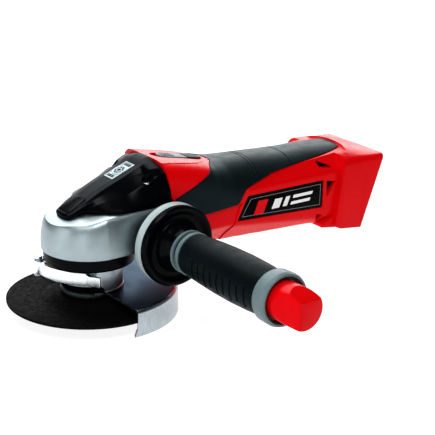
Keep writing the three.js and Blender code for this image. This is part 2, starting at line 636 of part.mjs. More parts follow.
const handleFlangeRing = () => onHandle([[22.3, HANDLE.back], [27.2, HANDLE.back], [28.2, -39.2],
  [28.2, -44.4], [27.2, -45.5], [22.3, -45.5]]);

const handleSleeve = () => onHandle([[12.9, -67], [14.3, -67], [14.6, -70], [15.4, -85],
  [16.3, -102], [16.6, -120], [16.2, -136], [15.4, -150.9], [12.9, -150.9]]);

const handleEndRing = () => onHandle([[12.9, -151.2], [16.4, -151.2], [17.4, -153], [17.7, -161.6],
  [17, HANDLE.end], [14.3, HANDLE.end], [13.9, -158], [12.9, -157.5]]);

// The spanner's head stays in line with the handle: a slanting flat gives the thumb a hold.
function spannerHead() {
  const { x, z, tip } = HANDLE;
  const round = rod("y", 13, tip, -157.9, x, z, 26);
  const flat = prism("z", [[x - 4.6, tip - 1], [x - 13.4, -165], [x - 20, -165], [x - 20, tip - 1]],
    0, 100);
  const chamfer = prism("x", [[tip - 1, z + 5], [tip + 11, z + 13.4], [tip + 11, z + 20],
    [tip - 1, z + 20]], 0, 100);
  return cut(round, flat, chamfer, box(x - 1.8, x + 1.8, -164, -150, z - 9.8, z + 9.8));
}

function spannerBlade() {
  const { x, z } = HANDLE;
  const plate = box(x - 1.5, x + 1.5, -163.7, -78, z - 9.5, z + 9.5);
  const pins = [-84, -114].map((y) => rod("x", 2.4, x - 6.4, x - 1.4, y, z, 14));
  return cut(join(plate, ...pins), rod("x", 6.4, x - 3, x + 3, -99, z, 20));
}

// ---- the assembly ------------------------------------------------------------------------------

const paint = (color, roughness, metalness) => ({ color, roughness, metalness });
const FINISH = {
  red: paint(0xd8121c, 0.42, 0),
  rubber: paint(0x1d2224, 0.75, 0),
  black: paint(0x16181c, 0.45, 0),
  grey: paint(0x8d9898, 0.5, 0),
  casting: paint(0xb4bcc0, 0.35, 0.9),
  steel: paint(0xc0c4c6, 0.3, 1),
  darkSteel: paint(0x5b6066, 0.35, 0.9),
  abrasive: paint(0x151517, 0.95, 0),
  copper: paint(0xb87333, 0.35, 1),
  carbon: paint(0x2a2a2c, 0.7, 0.2),
  board: paint(0x1f5a34, 0.6, 0),
};

function part(name, piece, finish) {
  const { numProp, vertProperties, triVerts } = piece.getMesh();
  const position = new Float32Array((vertProperties.length / numProp) * 3);
  for (let i = 0; i < position.length / 3; i++) {
    position.set(vertProperties.subarray(i * numProp, i * numProp + 3), i * 3);
  }
  const g = new THREE.BufferGeometry()
    .setAttribute("position", new THREE.BufferAttribute(position, 3))
    .setIndex(new THREE.BufferAttribute(triVerts, 1));
  g.computeVertexNormals();
  const mesh = new THREE.Mesh(g, new THREE.MeshStandardMaterial(FINISH[finish]));
  mesh.name = name;
  return mesh;
}

const group = (...meshes) => new THREE.Group().add(...meshes);

const spindleGroup = group(
  part("spindle", spindle(), "steel"),
  part("crown_gear", crownGear(), "darkSteel"),
  part("inner_flange", innerFlange(), "darkSteel"),
  part("grinding_disc", grindingDisc(), "abrasive"),
  part("lock_nut", lockNut(), "darkSteel"),
);

const rotorGroup = group(
  part("motor_shaft", motorShaft(), "steel"),
  part("pinion", pinion(), "darkSteel"),
  part("fan", fan(), "black"),
  part("armature", armature(), "darkSteel"),
  part("commutator", commutator(), "copper"),
);

const headGroup = group(
  part("gear_head", gearHead(), "casting"),
  part("bearing_flange", bearingFlange(), "black"),
  part("lower_bearing", bearing("z", 6.1, 15.8, 30.5, 40.5), "steel"),
  part("upper_bearing", bearing("z", 4.7, 8, 62.4, 67.8), "steel"),
  ...flangeScrewPlaces().map((p, i) => part(`flange_screw_${i + 1}`, flangeScrew(p), "darkSteel")),
  part("top_cover", topCover(), "black"),
  part("badge_plate", badgePlate(), "casting"),
  part("cover_screw_left", coverScrew(1), "steel"),
  part("cover_screw_right", coverScrew(-1), "steel"),
  part("lock_button", lockButton(), "black"),
  part("lock_pin", lockPin(), "steel"),
  part("lock_spring", lockSpring(), "steel"),
);

const motorGroup = group(
  part("front_motor_bearing", bearing("x", 4, 12.1, 34, 41, 0, MOTOR_Z), "steel"),
  part("motor_can", motorCan(), "darkSteel"),
  part("magnet_ring", magnetRing(), "carbon"),
  part("brush_plate", brushPlate(), "black"),
  part("brush_left", brush(1), "carbon"),
  part("brush_right", brush(-1), "carbon"),
  part("rear_motor_bearing", bearing("x", 3, 6.9, 138.2, 142.8, 0, MOTOR_Z), "steel"),
);

const bodyGroup = group(
  part("housing_left", housing(1), "red"),
  part("housing_right", housing(-1), "red"),
  part("grip_left", grip(1), "rubber"),
  part("grip_right", grip(-1), "rubber"),
  part("side_panel_left", sidePanel(1), "black"),
  part("side_panel_right", sidePanel(-1), "black"),
  ...SCREWS.map((p, i) => part(`housing_screw_${i + 1}`, housingScrew(p), "darkSteel")),
  part("slide_button", slideButton(), "grey"),
  part("slide_rod", slideRod(), "black"),
  part("switch_module", switchModule(), "black"),
  part("control_board", controlBoard(), "board"),
  part("terminal_block", terminalBlock(), "black"),
  part("terminal_plus", terminal(9), "copper"),
  part("terminal_minus", terminal(-9), "copper"),
);

const guardGroup = group(
  part("guard_shield", guardShield(), "darkSteel"),
  part("guard_collar", guardCollar(), "steel"),
  part("clamp_screw", clampScrew(), "steel"),
  part("lever_pin", leverPin(), "steel"),
  part("clamp_lever", clampLever(), "steel"),
);

const handleGroup = group(
  part("handle_stud", handleStud(), "steel"),
  part("handle_core", handleCore(), "black"),
  part("handle_flange_ring", handleFlangeRing(), "grey"),
  part("handle_sleeve", handleSleeve(), "rubber"),
  part("handle_end_ring", handleEndRing(), "grey"),
  part("spanner_head", spannerHead(), "red"),
  part("spanner_blade", spannerBlade(), "steel"),
);

export default group(spindleGroup, rotorGroup, headGroup, motorGroup, bodyGroup, guardGroup,
  handleGroup);
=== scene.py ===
"""Looks of a cordless angle grinder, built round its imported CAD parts.

Shapes are worked out in millimetres in the part's own frame: z up the spindle, x towards the battery
foot, the side handle along -y. A piece is scaled to metres when it is made.
"""
import json
import math

import bmesh
import bpy
import numpy as np
from mathutils import Matrix, Vector

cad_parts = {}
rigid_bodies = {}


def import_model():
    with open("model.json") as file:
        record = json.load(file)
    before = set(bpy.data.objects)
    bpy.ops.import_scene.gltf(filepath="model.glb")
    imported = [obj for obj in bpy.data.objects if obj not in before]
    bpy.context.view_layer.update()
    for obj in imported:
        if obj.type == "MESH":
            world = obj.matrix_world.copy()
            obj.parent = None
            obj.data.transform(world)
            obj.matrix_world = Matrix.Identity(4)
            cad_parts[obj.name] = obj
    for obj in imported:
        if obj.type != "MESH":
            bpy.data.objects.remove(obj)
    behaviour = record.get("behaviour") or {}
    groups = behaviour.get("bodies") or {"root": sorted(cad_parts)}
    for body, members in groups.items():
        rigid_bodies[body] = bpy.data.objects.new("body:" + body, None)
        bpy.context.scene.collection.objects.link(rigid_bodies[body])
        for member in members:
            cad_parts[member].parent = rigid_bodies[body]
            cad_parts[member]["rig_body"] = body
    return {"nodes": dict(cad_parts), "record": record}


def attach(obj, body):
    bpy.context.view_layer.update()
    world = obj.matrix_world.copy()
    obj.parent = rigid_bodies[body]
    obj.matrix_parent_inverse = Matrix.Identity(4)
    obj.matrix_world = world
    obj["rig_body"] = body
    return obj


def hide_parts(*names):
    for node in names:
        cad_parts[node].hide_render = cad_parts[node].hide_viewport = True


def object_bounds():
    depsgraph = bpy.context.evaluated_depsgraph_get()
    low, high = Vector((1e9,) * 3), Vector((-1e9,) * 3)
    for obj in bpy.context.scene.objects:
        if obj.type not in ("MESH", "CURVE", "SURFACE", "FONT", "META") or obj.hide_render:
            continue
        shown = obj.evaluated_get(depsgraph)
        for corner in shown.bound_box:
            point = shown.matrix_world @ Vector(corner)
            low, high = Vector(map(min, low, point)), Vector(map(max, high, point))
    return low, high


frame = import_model()
cad_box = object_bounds()

MM = 0.001
SLOT_OF = {part["node"]: part["material_slot"] for part in frame["record"]["subparts"]}
SCENE = bpy.context.scene

# ---- driving sizes, as in the part ---------------------------------------------------------------

FAR = 200
GAP = 0.3
MOTOR_Z = 56
FOOT_TILT = math.radians(20.93)
FOOT_MIDDLE_Z = 52
FOOT_FACE_X = 218.6 + math.tan(FOOT_TILT) * (FOOT_MIDDLE_Z - 28.9)
HANDLE_X, HANDLE_Z = 39.4, 48
HEAD_R = 33
GUARD_R = 60.5
DISC_R = 57.5


# ---- outlines and curves -------------------------------------------------------------------------

def rounded(points, radius=0.0, steps=5):
    """A closed outline whose corners are rounded; a point's third number overrides the radius."""
    out = []
    for i, point in enumerate(points):
        size = point[2] if len(point) > 2 else radius
        here = Vector(point[:2])
        before = Vector(points[i - 1][:2]) - here
        after = Vector(points[(i + 1) % len(points)][:2]) - here
        bend = before.angle(after, math.pi)
        if size <= 0:
            out.append(tuple(here))
            continue
        if bend > 3.12:
            out += [tuple(here)] * (steps + 1)
            continue
        reach = min(size / math.tan(bend / 2), 0.48 * before.length, 0.48 * after.length)
        size = reach * math.tan(bend / 2)
        centre = here + (before.normalized() + after.normalized()).normalized() * size / math.sin(bend / 2)
        start = here + before.normalized() * reach - centre
        end = here + after.normalized() * reach - centre
        turn = start.angle_signed(end)
        first = math.atan2(start.y, start.x)
        for k in range(steps + 1):
            angle = first - turn * k / steps
            out.append((centre.x + size * math.cos(angle), centre.y + size * math.sin(angle)))
    return out


def arc(radius, start, end, count):
    """Points on a circle about the origin, angles in degrees."""
    angles = np.radians(np.linspace(start, end, count))
    return [(radius * math.cos(a), radius * math.sin(a)) for a in angles]


def interpolate(at, xs, rows):
    """Rows of values at each place in at, on a smooth curve that doesn't overshoot its points."""
    xs, rows = np.asarray(xs, float), np.asarray(rows, float)
    step = np.diff(xs)[:, None]
    slope = np.diff(rows, axis=0) / step
    tangent = np.vstack([slope[:1], slope, slope[-1:]])
    low, high = tangent[:-1], tangent[1:]
    same = low * high > 0
    both = np.where(same, 2 * low * high / np.where(same, low + high, 1), 0)
    i = np.clip(np.searchsorted(xs, at, side="right") - 1, 0, len(xs) - 2)
    t = ((at - xs[i]) / step[i, 0])[:, None]
    h, m0, m1 = step[i], both[i], both[i + 1]
    return ((1 + 2 * t) * (1 - t) ** 2 * rows[i] + t * (1 - t) ** 2 * h * m0
            + t * t * (3 - 2 * t) * rows[i + 1] + t * t * (t - 1) * h * m1)


def soft_min(a, b, blend):
    """The smaller of two, blended where they are close."""
    share = np.clip(0.5 + 0.5 * (b - a) / blend, 0, 1)
    return b + (a - b) * share - blend * share * (1 - share)


def soft_step(x, low, high):
    t = min(1.0, max(0.0, (x - low) / (high - low)))
    return t * t * (3 - 2 * t)


def spread(points, count):
    """Points at equal distances along an open line."""
    points = np.asarray(points, float)
    length = np.concatenate([[0], np.cumsum(np.linalg.norm(np.diff(points, axis=0), axis=1))])
    where = np.linspace(0, length[-1], count)
    return np.column_stack([np.interp(where, length, points[:, k]) for k in range(points.shape[1])])


# ---- closed meshes in millimetres ----------------------------------------------------------------

def closed(points, faces):
    """A mesh with doubled points merged and its faces turned outwards."""
    mesh = bpy.data.meshes.new("work")
    mesh.from_pydata([tuple(p) for p in points], [], faces)
    work = bmesh.new()
    work.from_mesh(mesh)
    bmesh.ops.remove_doubles(work, verts=work.verts, dist=1e-4)
    bmesh.ops.recalc_face_normals(work, faces=work.faces)
    work.to_mesh(mesh)
    work.free()
    return mesh


def lay(u, v, w, axis):
    """A point from an outline's two directions u, v and the depth w along an axis."""
    return {"x": (w, u, v), "y": (u, w, v), "z": (u, v, w)}[axis]


def loft(loops):
    """A closed skin over loops of equal count, capped at both ends."""
    count = len(loops[0])
    faces = [tuple(range(count)), tuple(range(len(loops) * count - count, len(loops) * count))]
    for i in range(len(loops) - 1):
        for k in range(count):
            n = (k + 1) % count
            faces.append((i * count + k, i * count + n, (i + 1) * count + n, (i + 1) * count + k))
    return closed([p for loop in loops for p in loop], faces)


def lathe(axis, profile, u=0.0, v=0.0, sides=96):
    """A closed profile of (radius, height) turned about an axis."""
    points = []
    for k in range(sides):
        a = 2 * math.pi * k / sides
        points += [lay(u + r * math.cos(a), v + r * math.sin(a), h, axis) for r, h in profile]
    count = len(profile)
    faces = []
    for k in range(sides):
        n = (k + 1) % sides
        for i in range(count):
            j = (i + 1) % count
            faces.append((k * count + i, k * count + j, n * count + j, n * count + i))
    return closed(points, faces)


def rod(axis, r, start, end, u=0.0, v=0.0, sides=48, edge=0.0):
    return lathe(axis, rounded([(0, start, 0), (r, start), (r, end), (0, end, 0)], edge, 3), u, v, sides)


def prism(axis, outline, start, end):
    return loft([[lay(p[0], p[1], w, axis) for p in outline] for w in (start, end)])


def box(x0, x1, y0, y1, z0, z1):
    return prism("z", [(x0, y0), (x1, y0), (x1, y1), (x0, y1)], z0, z1)


def oblong(start, end, half):
    """An outline with round ends, from start to end along x."""
    return ([(end - half + x, y) for x, y in arc(half, -90, 90, 17)]
            + [(start + half + x, y) for x, y in arc(half, 90, 270, 17)])


def changed(mesh, *modifiers):
    """The mesh after modifiers, each given as (type, settings)."""
    item = bpy.data.objects.new("work", mesh)
    SCENE.collection.objects.link(item)
    for kind, settings in modifiers:
        modifier = item.modifiers.new(kind, kind)
        for key, value in settings.items():
            setattr(modifier, key, value)
    bpy.context.view_layer.update()
    made = bpy.data.meshes.new_from_object(item.evaluated_get(bpy.context.evaluated_depsgraph_get()))
    bpy.data.objects.remove(item)
    return made


def softened(mesh, width, segments=3, angle=30):
    """Edges sharper than the angle are rounded off."""
    return changed(mesh, ("BEVEL", {"width": width, "segments": segments, "limit_method": "ANGLE",
                                    "angle_limit": math.radians(angle)}))


def boolean(operation, first, tools):
    items = [bpy.data.objects.new("tool", tool) for tool in tools]
    for item in items:
        SCENE.collection.objects.link(item)
    steps = [("BOOLEAN", {"operation": operation, "solver": "MANIFOLD", "object": item}) for item in items]
    made = changed(first, *steps)
    for item in items:
        bpy.data.objects.remove(item)
    return made


def join(first, *others):
    return boolean("UNION", first, others)


def cut(first, *others):
    return boolean("DIFFERENCE", first, others)


def common(first, *others):
    return boolean("INTERSECT", first, others)


def moved(mesh, matrix):
    copy = mesh.copy()
    copy.transform(matrix)
    return copy


def shifted(mesh, x, y, z):
    return moved(mesh, Matrix.Translation((x, y, z)))


def on_foot(mesh):
    """From the battery face's own frame, x out of the face, to the part's."""
    return moved(mesh, Matrix.Translation((FOOT_FACE_X, 0, FOOT_MIDDLE_Z)) @ Matrix.Rotation(FOOT_TILT, 4, "Y"))


# ---- materials -----------------------------------------------------------------------------------

class Nodes:
    """A short way to wire a material."""

    def __init__(self, name):
        self.material = bpy.data.materials.new(name)
        self.material.use_nodes = True
        self.tree = self.material.node_tree
        self.shader = self.tree.nodes["Principled BSDF"]
        self.coordinates = self.add("ShaderNodeTexCoord").outputs["Object"]

    def add(self, kind, **settings):
        node = self.tree.nodes.new(kind)
        for key, value in settings.items():
            setattr(node, key, value)
        return node

    def link(self, output, target):
        self.tree.links.new(output, target)

    def noise(self, scale, detail=3.0, stretch=None):
        node = self.add("ShaderNodeTexNoise")
        node.inputs["Scale"].default_value = scale
        node.inputs["Detail"].default_value = detail
        self.link(self.stretched(stretch), node.inputs["Vector"])
        return node.outputs["Fac"]

    def cells(self, scale):
        node = self.add("ShaderNodeTexVoronoi")
        node.inputs["Scale"].default_value = scale
        self.link(self.coordinates, node.inputs["Vector"])
        return node.outputs["Distance"]

    def wave(self, direction, scale):
        node = self.add("ShaderNodeTexWave", bands_direction=direction)
        node.inputs["Scale"].default_value = scale
        self.link(self.coordinates, node.inputs["Vector"])
        return node.outputs["Fac"]

    def stretched(self, stretch):
        if stretch is None:
            return self.coordinates
        node = self.add("ShaderNodeMapping")
        node.inputs["Scale"].default_value = stretch
        self.link(self.coordinates, node.inputs["Vector"])
        return node.outputs["Vector"]

    def ramp(self, source, stops):
        """stops: (place, value or colour)."""
        node = self.add("ShaderNodeValToRGB")
        elements = node.color_ramp.elements
        while len(elements) < len(stops):
            elements.new(0.5)
        for element, (place, value) in zip(elements, stops):
            element.position = place
            element.color = (*value, 1) if isinstance(value, tuple) else (value, value, value, 1)
        self.link(source, node.inputs["Fac"])
        return node.outputs["Color"]

    def math(self, operation, a, b):
        node = self.add("ShaderNodeMath", operation=operation)
        for socket, value in zip(node.inputs, (a, b)):
            if isinstance(value, (int, float)):
                socket.default_value = value
            else:
                self.link(value, socket)
        return node.outputs["Value"]

    def relief(self, heights, edge):
        """Bump from (height, strength, depth in metres) in turn, over edges rounded by a radius."""
        soft = self.add("ShaderNodeBevel", samples=4)
        soft.inputs["Radius"].default_value = edge * MM
        normal = soft.outputs["Normal"]
        for height, strength, depth in heights:
            node = self.add("ShaderNodeBump")
            node.inputs["Strength"].default_value = strength
            node.inputs["Distance"].default_value = depth
            self.link(height, node.inputs["Height"])
            self.link(normal, node.inputs["Normal"])
            normal = node.outputs["Normal"]
        self.link(normal, self.shader.inputs["Normal"])

    def set(self, **values):
        for key, value in values.items():
            self.shader.inputs[key.replace("_", " ")].default_value = value


def shades(colour, share):
    """A darker and a lighter colour, that share apart on each side."""
    return tuple(c * (1 - share) for c in colour), tuple(min(1.0, c * (1 + share)) for c in colour)


def moulded(name, colour, rough, gloss=0.3, grain=9000, depth=0.00002, edge=0.35, mottle=0.12, tint=(1, 1, 1),
            sheen=0.0):
    """Injection moulded plastic or rubber: spark-eroded grain, uneven gloss and slight mottling."""
    n = Nodes(name)
    dark, light = shades(colour, mottle)
    n.link(n.ramp(n.noise(60, 4), [(0.3, dark), (0.7, light)]), n.shader.inputs["Base Color"])
    n.link(n.ramp(n.noise(140, 5), [(0.3, rough * 0.85), (0.7, rough * 1.15)]), n.shader.inputs["Roughness"])
    n.relief([(n.noise(grain, 2), 0.35, depth), (n.noise(500, 2), 0.12, depth * 2)], edge)
    n.set(Specular_IOR_Level=gloss, Specular_Tint=(*tint, 1), Sheen_Weight=sheen, Sheen_Tint=(0.55, 0.92, 1, 1))
    return n.material


def cast_metal(name, colour, rough):
    """Blasted die casting: fine pits and a faint cloudiness."""
    n = Nodes(name)
    dark, light = shades(colour, 0.07)
    n.link(n.ramp(n.noise(45, 4), [(0.3, dark), (0.7, light)]), n.shader.inputs["Base Color"])
    n.link(n.ramp(n.noise(220, 4), [(0.3, rough * 0.88), (0.7, rough * 1.12)]), n.shader.inputs["Roughness"])
    n.relief([(n.noise(5200, 3), 0.4, 0.00003), (n.cells(2600), 0.15, 0.00002)], 0.4)
    n.set(Metallic=1.0)
    return n.material


def worked_steel(name, colour, rough, stretch, scratch=0.3, rim=(1, 1, 1)):
    """Rolled or turned steel with fine lines along one direction and a few scuffs."""
    n = Nodes(name)
    lines = n.noise(700, 4, stretch)
    dark, light = shades(colour, 0.1)
    n.link(n.ramp(lines, [(0.3, dark), (0.7, light)]), n.shader.inputs["Base Color"])
    scuffs = n.ramp(n.noise(90, 5), [(0.45, rough), (0.75, rough * 1.35)])
    n.link(scuffs, n.shader.inputs["Roughness"])
    n.relief([(lines, scratch, 0.00002)], 0.25)
    n.set(Metallic=1.0, Specular_Tint=(*rim, 1))
    return n.material


def bonded_grain():
    """Abrasive disc: black resin with grit, over a fibre mesh pressed in as arcs and squares."""
    n = Nodes("abrasive_grain")
    grit = n.cells(900)
    weave = n.add("ShaderNodeTexWave", wave_type="RINGS", rings_direction="Z", wave_profile="SIN")
    weave.inputs["Scale"].default_value = 150
    weave.inputs["Distortion"].default_value = 0.8
    weave.inputs["Detail"].default_value = 2
    n.link(n.coordinates, weave.inputs["Vector"])
    cloth = n.math("MULTIPLY", n.wave("X", 330), n.wave("Y", 330))
    height = n.math("ADD", n.math("MULTIPLY", weave.outputs["Fac"], 0.7), n.math("MULTIPLY", cloth, 0.5))
    specks = n.ramp(n.math("MULTIPLY", n.math("SUBTRACT", 1, grit), height),
                    [(0.1, (0.0003, 0.0004, 0.0005)), (0.5, (0.0015, 0.0017, 0.002)), (0.95, (0.02, 0.02, 0.02))])
    n.link(specks, n.shader.inputs["Base Color"])
    n.link(n.ramp(n.noise(300, 5), [(0.3, 0.62), (0.7, 0.9)]), n.shader.inputs["Roughness"])
    n.relief([(height, 0.55, 0.0003), (grit, 0.6, 0.0002), (n.noise(2500, 4), 0.5, 0.0001)], 0.3)
    n.set(Specular_IOR_Level=0.1)
    return n.material


RED = moulded("red_plastic", (0.7, 0.0012, 0.004), 0.3, 0.3, depth=0.00001, mottle=0.03, edge=0.5,
              tint=(1, 0.12, 0.2))
RUBBER = moulded("slate_rubber", (0.003, 0.0055, 0.0065), 0.4, 0.12, grain=5200, depth=0.00003, edge=0.4,
                 tint=(0.5, 0.9, 1), sheen=0.13)
SLEEVE_RUBBER = moulded("sleeve_rubber", (0.002, 0.0035, 0.0045), 0.45, 0.07, grain=5200, depth=0.00003, edge=0.4,
                        tint=(0.5, 0.9, 1), sheen=0.04)
BLACK = moulded("black_plastic", (0.0015, 0.002, 0.003), 0.22, 0.07, edge=0.4)
# slate plastic; on the cover's upward spine faces its lighter colour is also painted light from above
SPINE = moulded("slate_plastic", (0.004, 0.005, 0.0085), 0.42, 0.08, grain=6000, edge=0.4, sheen=0.05)
GREY = moulded("grey_plastic", (0.14, 0.2, 0.21), 0.4, 0.3)
GREY_LIGHT = moulded("light_grey_plastic", (0.42, 0.5, 0.51), 0.35, 0.3, edge=0.3)
GLOSS_BLACK = moulded("label_black", (0.0015, 0.0015, 0.0018), 0.3, 0.04, depth=0.000004, edge=0.2)
WHITE_INK = moulded("white_ink", (0.85, 0.85, 0.85), 0.45, 0.2, depth=0.000004, edge=0.05, mottle=0.03)
GREY_INK = moulded("grey_ink", (0.2, 0.2, 0.21), 0.45, 0.2, depth=0.000004, edge=0.05)
CASTING = cast_metal("blasted_aluminium", (0.37, 0.44, 0.465), 0.42)
SATIN = cast_metal("satin_aluminium", (0.84, 0.88, 0.9), 0.26)
STEEL = worked_steel("zinc_steel", (0.42, 0.48, 0.52), 0.3, (0.15, 0.15, 4))
TURNED = worked_steel("turned_steel", (0.07, 0.09, 0.09), 0.36, (0.2, 0.2, 5))
SHEET = worked_steel("guard_sheet", (0.44, 0.5, 0.53), 0.25, (1, 1, 0.2), scratch=0.06)
# painted dark reflection: a darker copy of the guard's sheet steel, put on its upward faces only
PAINTED_DARK_REFLECTION_SHEET = worked_steel("guard_sheet_top_painted_dark_reflection", (0.045, 0.055, 0.075), 0.3, (1, 1, 0.2), scratch=0.06,
                            rim=(0.6, 0.66, 0.72))
ABRASIVE = bonded_grain()
COPPER = worked_steel("bare_copper", (0.72, 0.38, 0.2), 0.28, (0.3, 0.3, 3))
BOARD = moulded("board_lacquer", (0.02, 0.12, 0.05), 0.35, depth=0.00001)
FERRITE = moulded("sintered_ferrite", (0.03, 0.03, 0.032), 0.6, depth=0.00004)

MATERIAL_OF_SLOT = {
    "red_plastic": RED, "rubber": RUBBER, "black_plastic": BLACK, "grey_plastic": GREY, "casting": CASTING,
    "steel": STEEL, "dark_steel": TURNED, "guard_steel": SHEET, "abrasive": ABRASIVE, "copper": COPPER,
    "ferrite": FERRITE, "circuit_board": BOARD,
}


def dress_frame():
    """Every CAD node gets the material of its slot."""
    for name, item in frame["nodes"].items():
        item.data.materials.clear()
        item.data.materials.append(MATERIAL_OF_SLOT[SLOT_OF[name]])


def trim(name, mesh, material, node, smooth=28):
    """A small piece that goes with a CAD node and stands for none."""
    mesh.transform(Matrix.Scale(MM, 4))
    mesh.shade_smooth()
    mesh.set_sharp_from_angle(angle=math.radians(smooth))
    mesh.materials.clear()
    mesh.materials.append(material)
    item = bpy.data.objects.new(name, mesh)
    SCENE.collection.objects.link(item)
    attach(item, frame["nodes"][node]["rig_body"])
    return item


def piece(name, mesh, material, node, smooth=28):
    """A finished piece that stands for a CAD node and rides on its body."""
    item = trim(name, mesh, material, node, smooth=smooth)
    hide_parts(node)
    return item


# ---- motor housing and grips ---------------------------------------------------------------------

# x, half width, top, bottom, squareness above and below the middle
STATIONS = [
    (30, 28, 101.6, 32.2, 5, 2.6), (38, 28.6, 100, 32, 5, 2.6), (50, 29, 97.6, 31.6, 5, 2.6),
    (66, 29.6, 94.4, 31.2, 4.6, 2.6), (82, 29.8, 91, 31, 3.8, 2.6), (92, 29.8, 88.8, 30.8, 2.9, 2.6),
    (104, 29.6, 86.8, 30.6, 2.5, 2.6), (133, 29.4, 85, 29.8, 2.4, 2.6), (171, 29.4, 82.8, 28.6, 2.4, 2.8),
    (188, 30, 82.4, 26.8, 2.5, 3), (211, 30, 81.4, 26, 2.5, 3), (245, 30, 79, 26, 2.5, 3),
]
BODY_STEP = 2.0
HALF_POINTS = 66
LOW_CREASE = ((97, 45.4), (181, 35.5))
HIGH_CREASE_Z = 68.4
LOW_LEAN, HIGH_LEAN = 0.93, 0.92


def body_envelope(inset, creased):
    """The body's outside, moved in. Creased, it has flat sides between two straight creases."""
    xs = np.arange(STATIONS[0][0], STATIONS[-1][0] + 0.01, BODY_STEP)
    rows = interpolate(xs, [s[0] for s in STATIONS], [s[1:] for s in STATIONS])
    loops = []
    for x, (w, top, bottom, up, down) in zip(xs, rows):
        a = np.linspace(math.pi / 2, -math.pi / 2, 240)
        flat = soft_step(x, 96, 116) if creased else 0.0
        power = np.where(a > 0, up + flat * 3, down + (2.6 if creased else 0))
        y = w * np.abs(np.cos(a)) ** (2 / power)
        middle, half = (top + bottom) / 2, (top - bottom) / 2
        z = middle + half * np.sign(np.sin(a)) * np.abs(np.sin(a)) ** (2 / power)
        if creased:
            low = np.interp(x, *zip(*LOW_CREASE))
            y = soft_min(y, w + 0.2 - LOW_LEAN * (low - z), 1.0)
            y = soft_min(y, w + 0.2 - flat * HIGH_LEAN * (z - HIGH_CREASE_Z) + (1 - flat) * 9, 1.0)
        y, z = np.maximum(y, 0), z
        side = spread(np.column_stack([y, z]), HALF_POINTS)
        side[0, 0] = side[-1, 0] = 0
        across = np.gradient(side, axis=0)
        out = np.column_stack([-across[:, 1], across[:, 0]])
        out /= np.maximum(np.linalg.norm(out, axis=1, keepdims=True), 1e-9)
        out[0], out[-1] = (0, 1), (0, -1)
        side = side - inset * out
        side[0, 0] = side[-1, 0] = 0
        loop = [(x, p[0], p[1]) for p in side] + [(x, -p[0], p[1]) for p in side[-2:0:-1]]
        loops.append(loop)
    return loft(loops)


# x, half width of the cowl's flat top, its height
COWL = [(30, 23, 100.6), (39, 22.2, 98.9), (50, 20.8, 96.9), (66, 19.4, 94), (76, 17.6, 92), (84, 13.5, 90.5),
        (90, 8.5, 89.4), (96, 5.5, 88.2)]


def cowl():
    """The broad, flat-topped front of the body round the slide switch."""
    xs = np.arange(COWL[0][0], COWL[-1][0] + 0.01, 2.0)
    rows = interpolate(xs, [c[0] for c in COWL], [c[1:] for c in COWL])
    loops = []
    for x, (flat, top) in zip(xs, rows):
        foot_y = 29.3 - 0.02 * (x - 38)
        right = [(flat, top, 1.8), (foot_y, 72, 3), (foot_y, 62, 0)]
        left = [(-y, z, r) for y, z, r in reversed(right)]
        loops.append([(x, y, z) for y, z in rounded([*right, *left], steps=6)])
    return loft(loops)


def grip_outline(s):
    """The rubber's edge from the side, moved in by s."""
    return rounded([
        (86 + s, 110, 0), (86 + s, 87.4, 3), (51 + s, 72.4 - s, 1.5), (51 + s, 56 + s, 3), (104 - s, 59.6 + s, 2),
        (111 - s, 69.3 + s, 3), (137, 76 + s, 12), (209 - 2 * s, 80.6 + s, 1), (211 - s, 82, 0),
        (211 - s, 110, 0)], steps=5)


def tongue(s):
    """The red tongue round the slide switch, seen from above, grown by s."""
    half = [(95 + s, 0, 0), (95 + s, 7, 5), (88 + s, 16.5 + s, 4), (84, 24 + s, 6), (20, 24, 0)]
    return rounded(half + [(x, -y, r) for x, y, r in reversed(half[1:])], steps=6)


def grip_region(s):
    region = prism("y", grip_outline(s), -FAR, FAR)
    rear = rounded([(0, -60, 0), (196, -60, 0), (211 - s, -13, 12), (211 - s, 13, 12), (196, 60, 0), (0, 60, 0)],
                   steps=8)
    return common(cut(region, prism("z", tongue(s), 84, FAR)), prism("z", rear, -FAR, FAR))


def slide_floor(x):
    """Height of the seat under the slide button."""
    return 97.3 - (x - 40) * 0.196


def half_space(side):
    """All that lies on one side of the shells' seam."""
    return box(-FAR, 300, 0.06, FAR, -FAR, FAR) if side > 0 else box(-FAR, 300, -FAR, -0.06, -FAR, FAR)


FOOT_HALF, FOOT_TOP, FOOT_RISE, FOOT_CORNER = 33.8, 75.8, 10.4, 4.0
CHANNEL_ROOF = 72.4
BODY_END = 206


def foot_block():
    """The battery foot: a broad block, wider than the body, whose top is arched in front and straight behind."""
    outline = rounded([(200, 90, 0), (262, 90, 0), (262, 15, 0), (218, 21.6, 0), (196, 24.4, 4), (190.6, 27, 2),
                       (195, 55, 20)], steps=6)
    edge = [FOOT_HALF - 0.5 * i for i in range(9)]
    across = [-y for y in edge] + list(np.linspace(-28, 28, 29)) + edge[::-1]
    loops = []
    for x in np.arange(186, 244, 2.0):
        rise = FOOT_RISE * (1 - soft_step(x, 194, 242))
        loop = [(x, FOOT_HALF, 10), (x, -FOOT_HALF, 10)]
        for y in across:
            over = max(0.0, abs(y) - FOOT_HALF + FOOT_CORNER)
            corner = (FOOT_CORNER ** 2 - over ** 2) ** 0.5 - FOOT_CORNER
            loop.append((x, y, FOOT_TOP + rise * (1 - (y / FOOT_HALF) ** 2) + corner))
        loops.append(loop)
    block = softened(common(loft(loops), prism("y", outline, -40, 40)), 1.2, 3, 50)
    sill = rounded([(180, 30.4, 1.5), (180, 27.4, 1), (214, 21.8, 0), (214, 34, 0), (190, 34, 0)], steps=4)
    return join(block, softened(prism("y", sill, -31.4, 31.4), 2, 4, 40))


PANEL_SEAT, PANEL_FACE = 28.5, 29.55
LABEL_LEAN = 0.45


def panel_outline(s):
    """The side panel's corners, moved in by s."""
    return [(104 + 1.6 * s, 47.5 + s), (113 + s, 63.6 - s), (181 - s, 63.2 - s), (180.6 - s, 43.4 + s)]


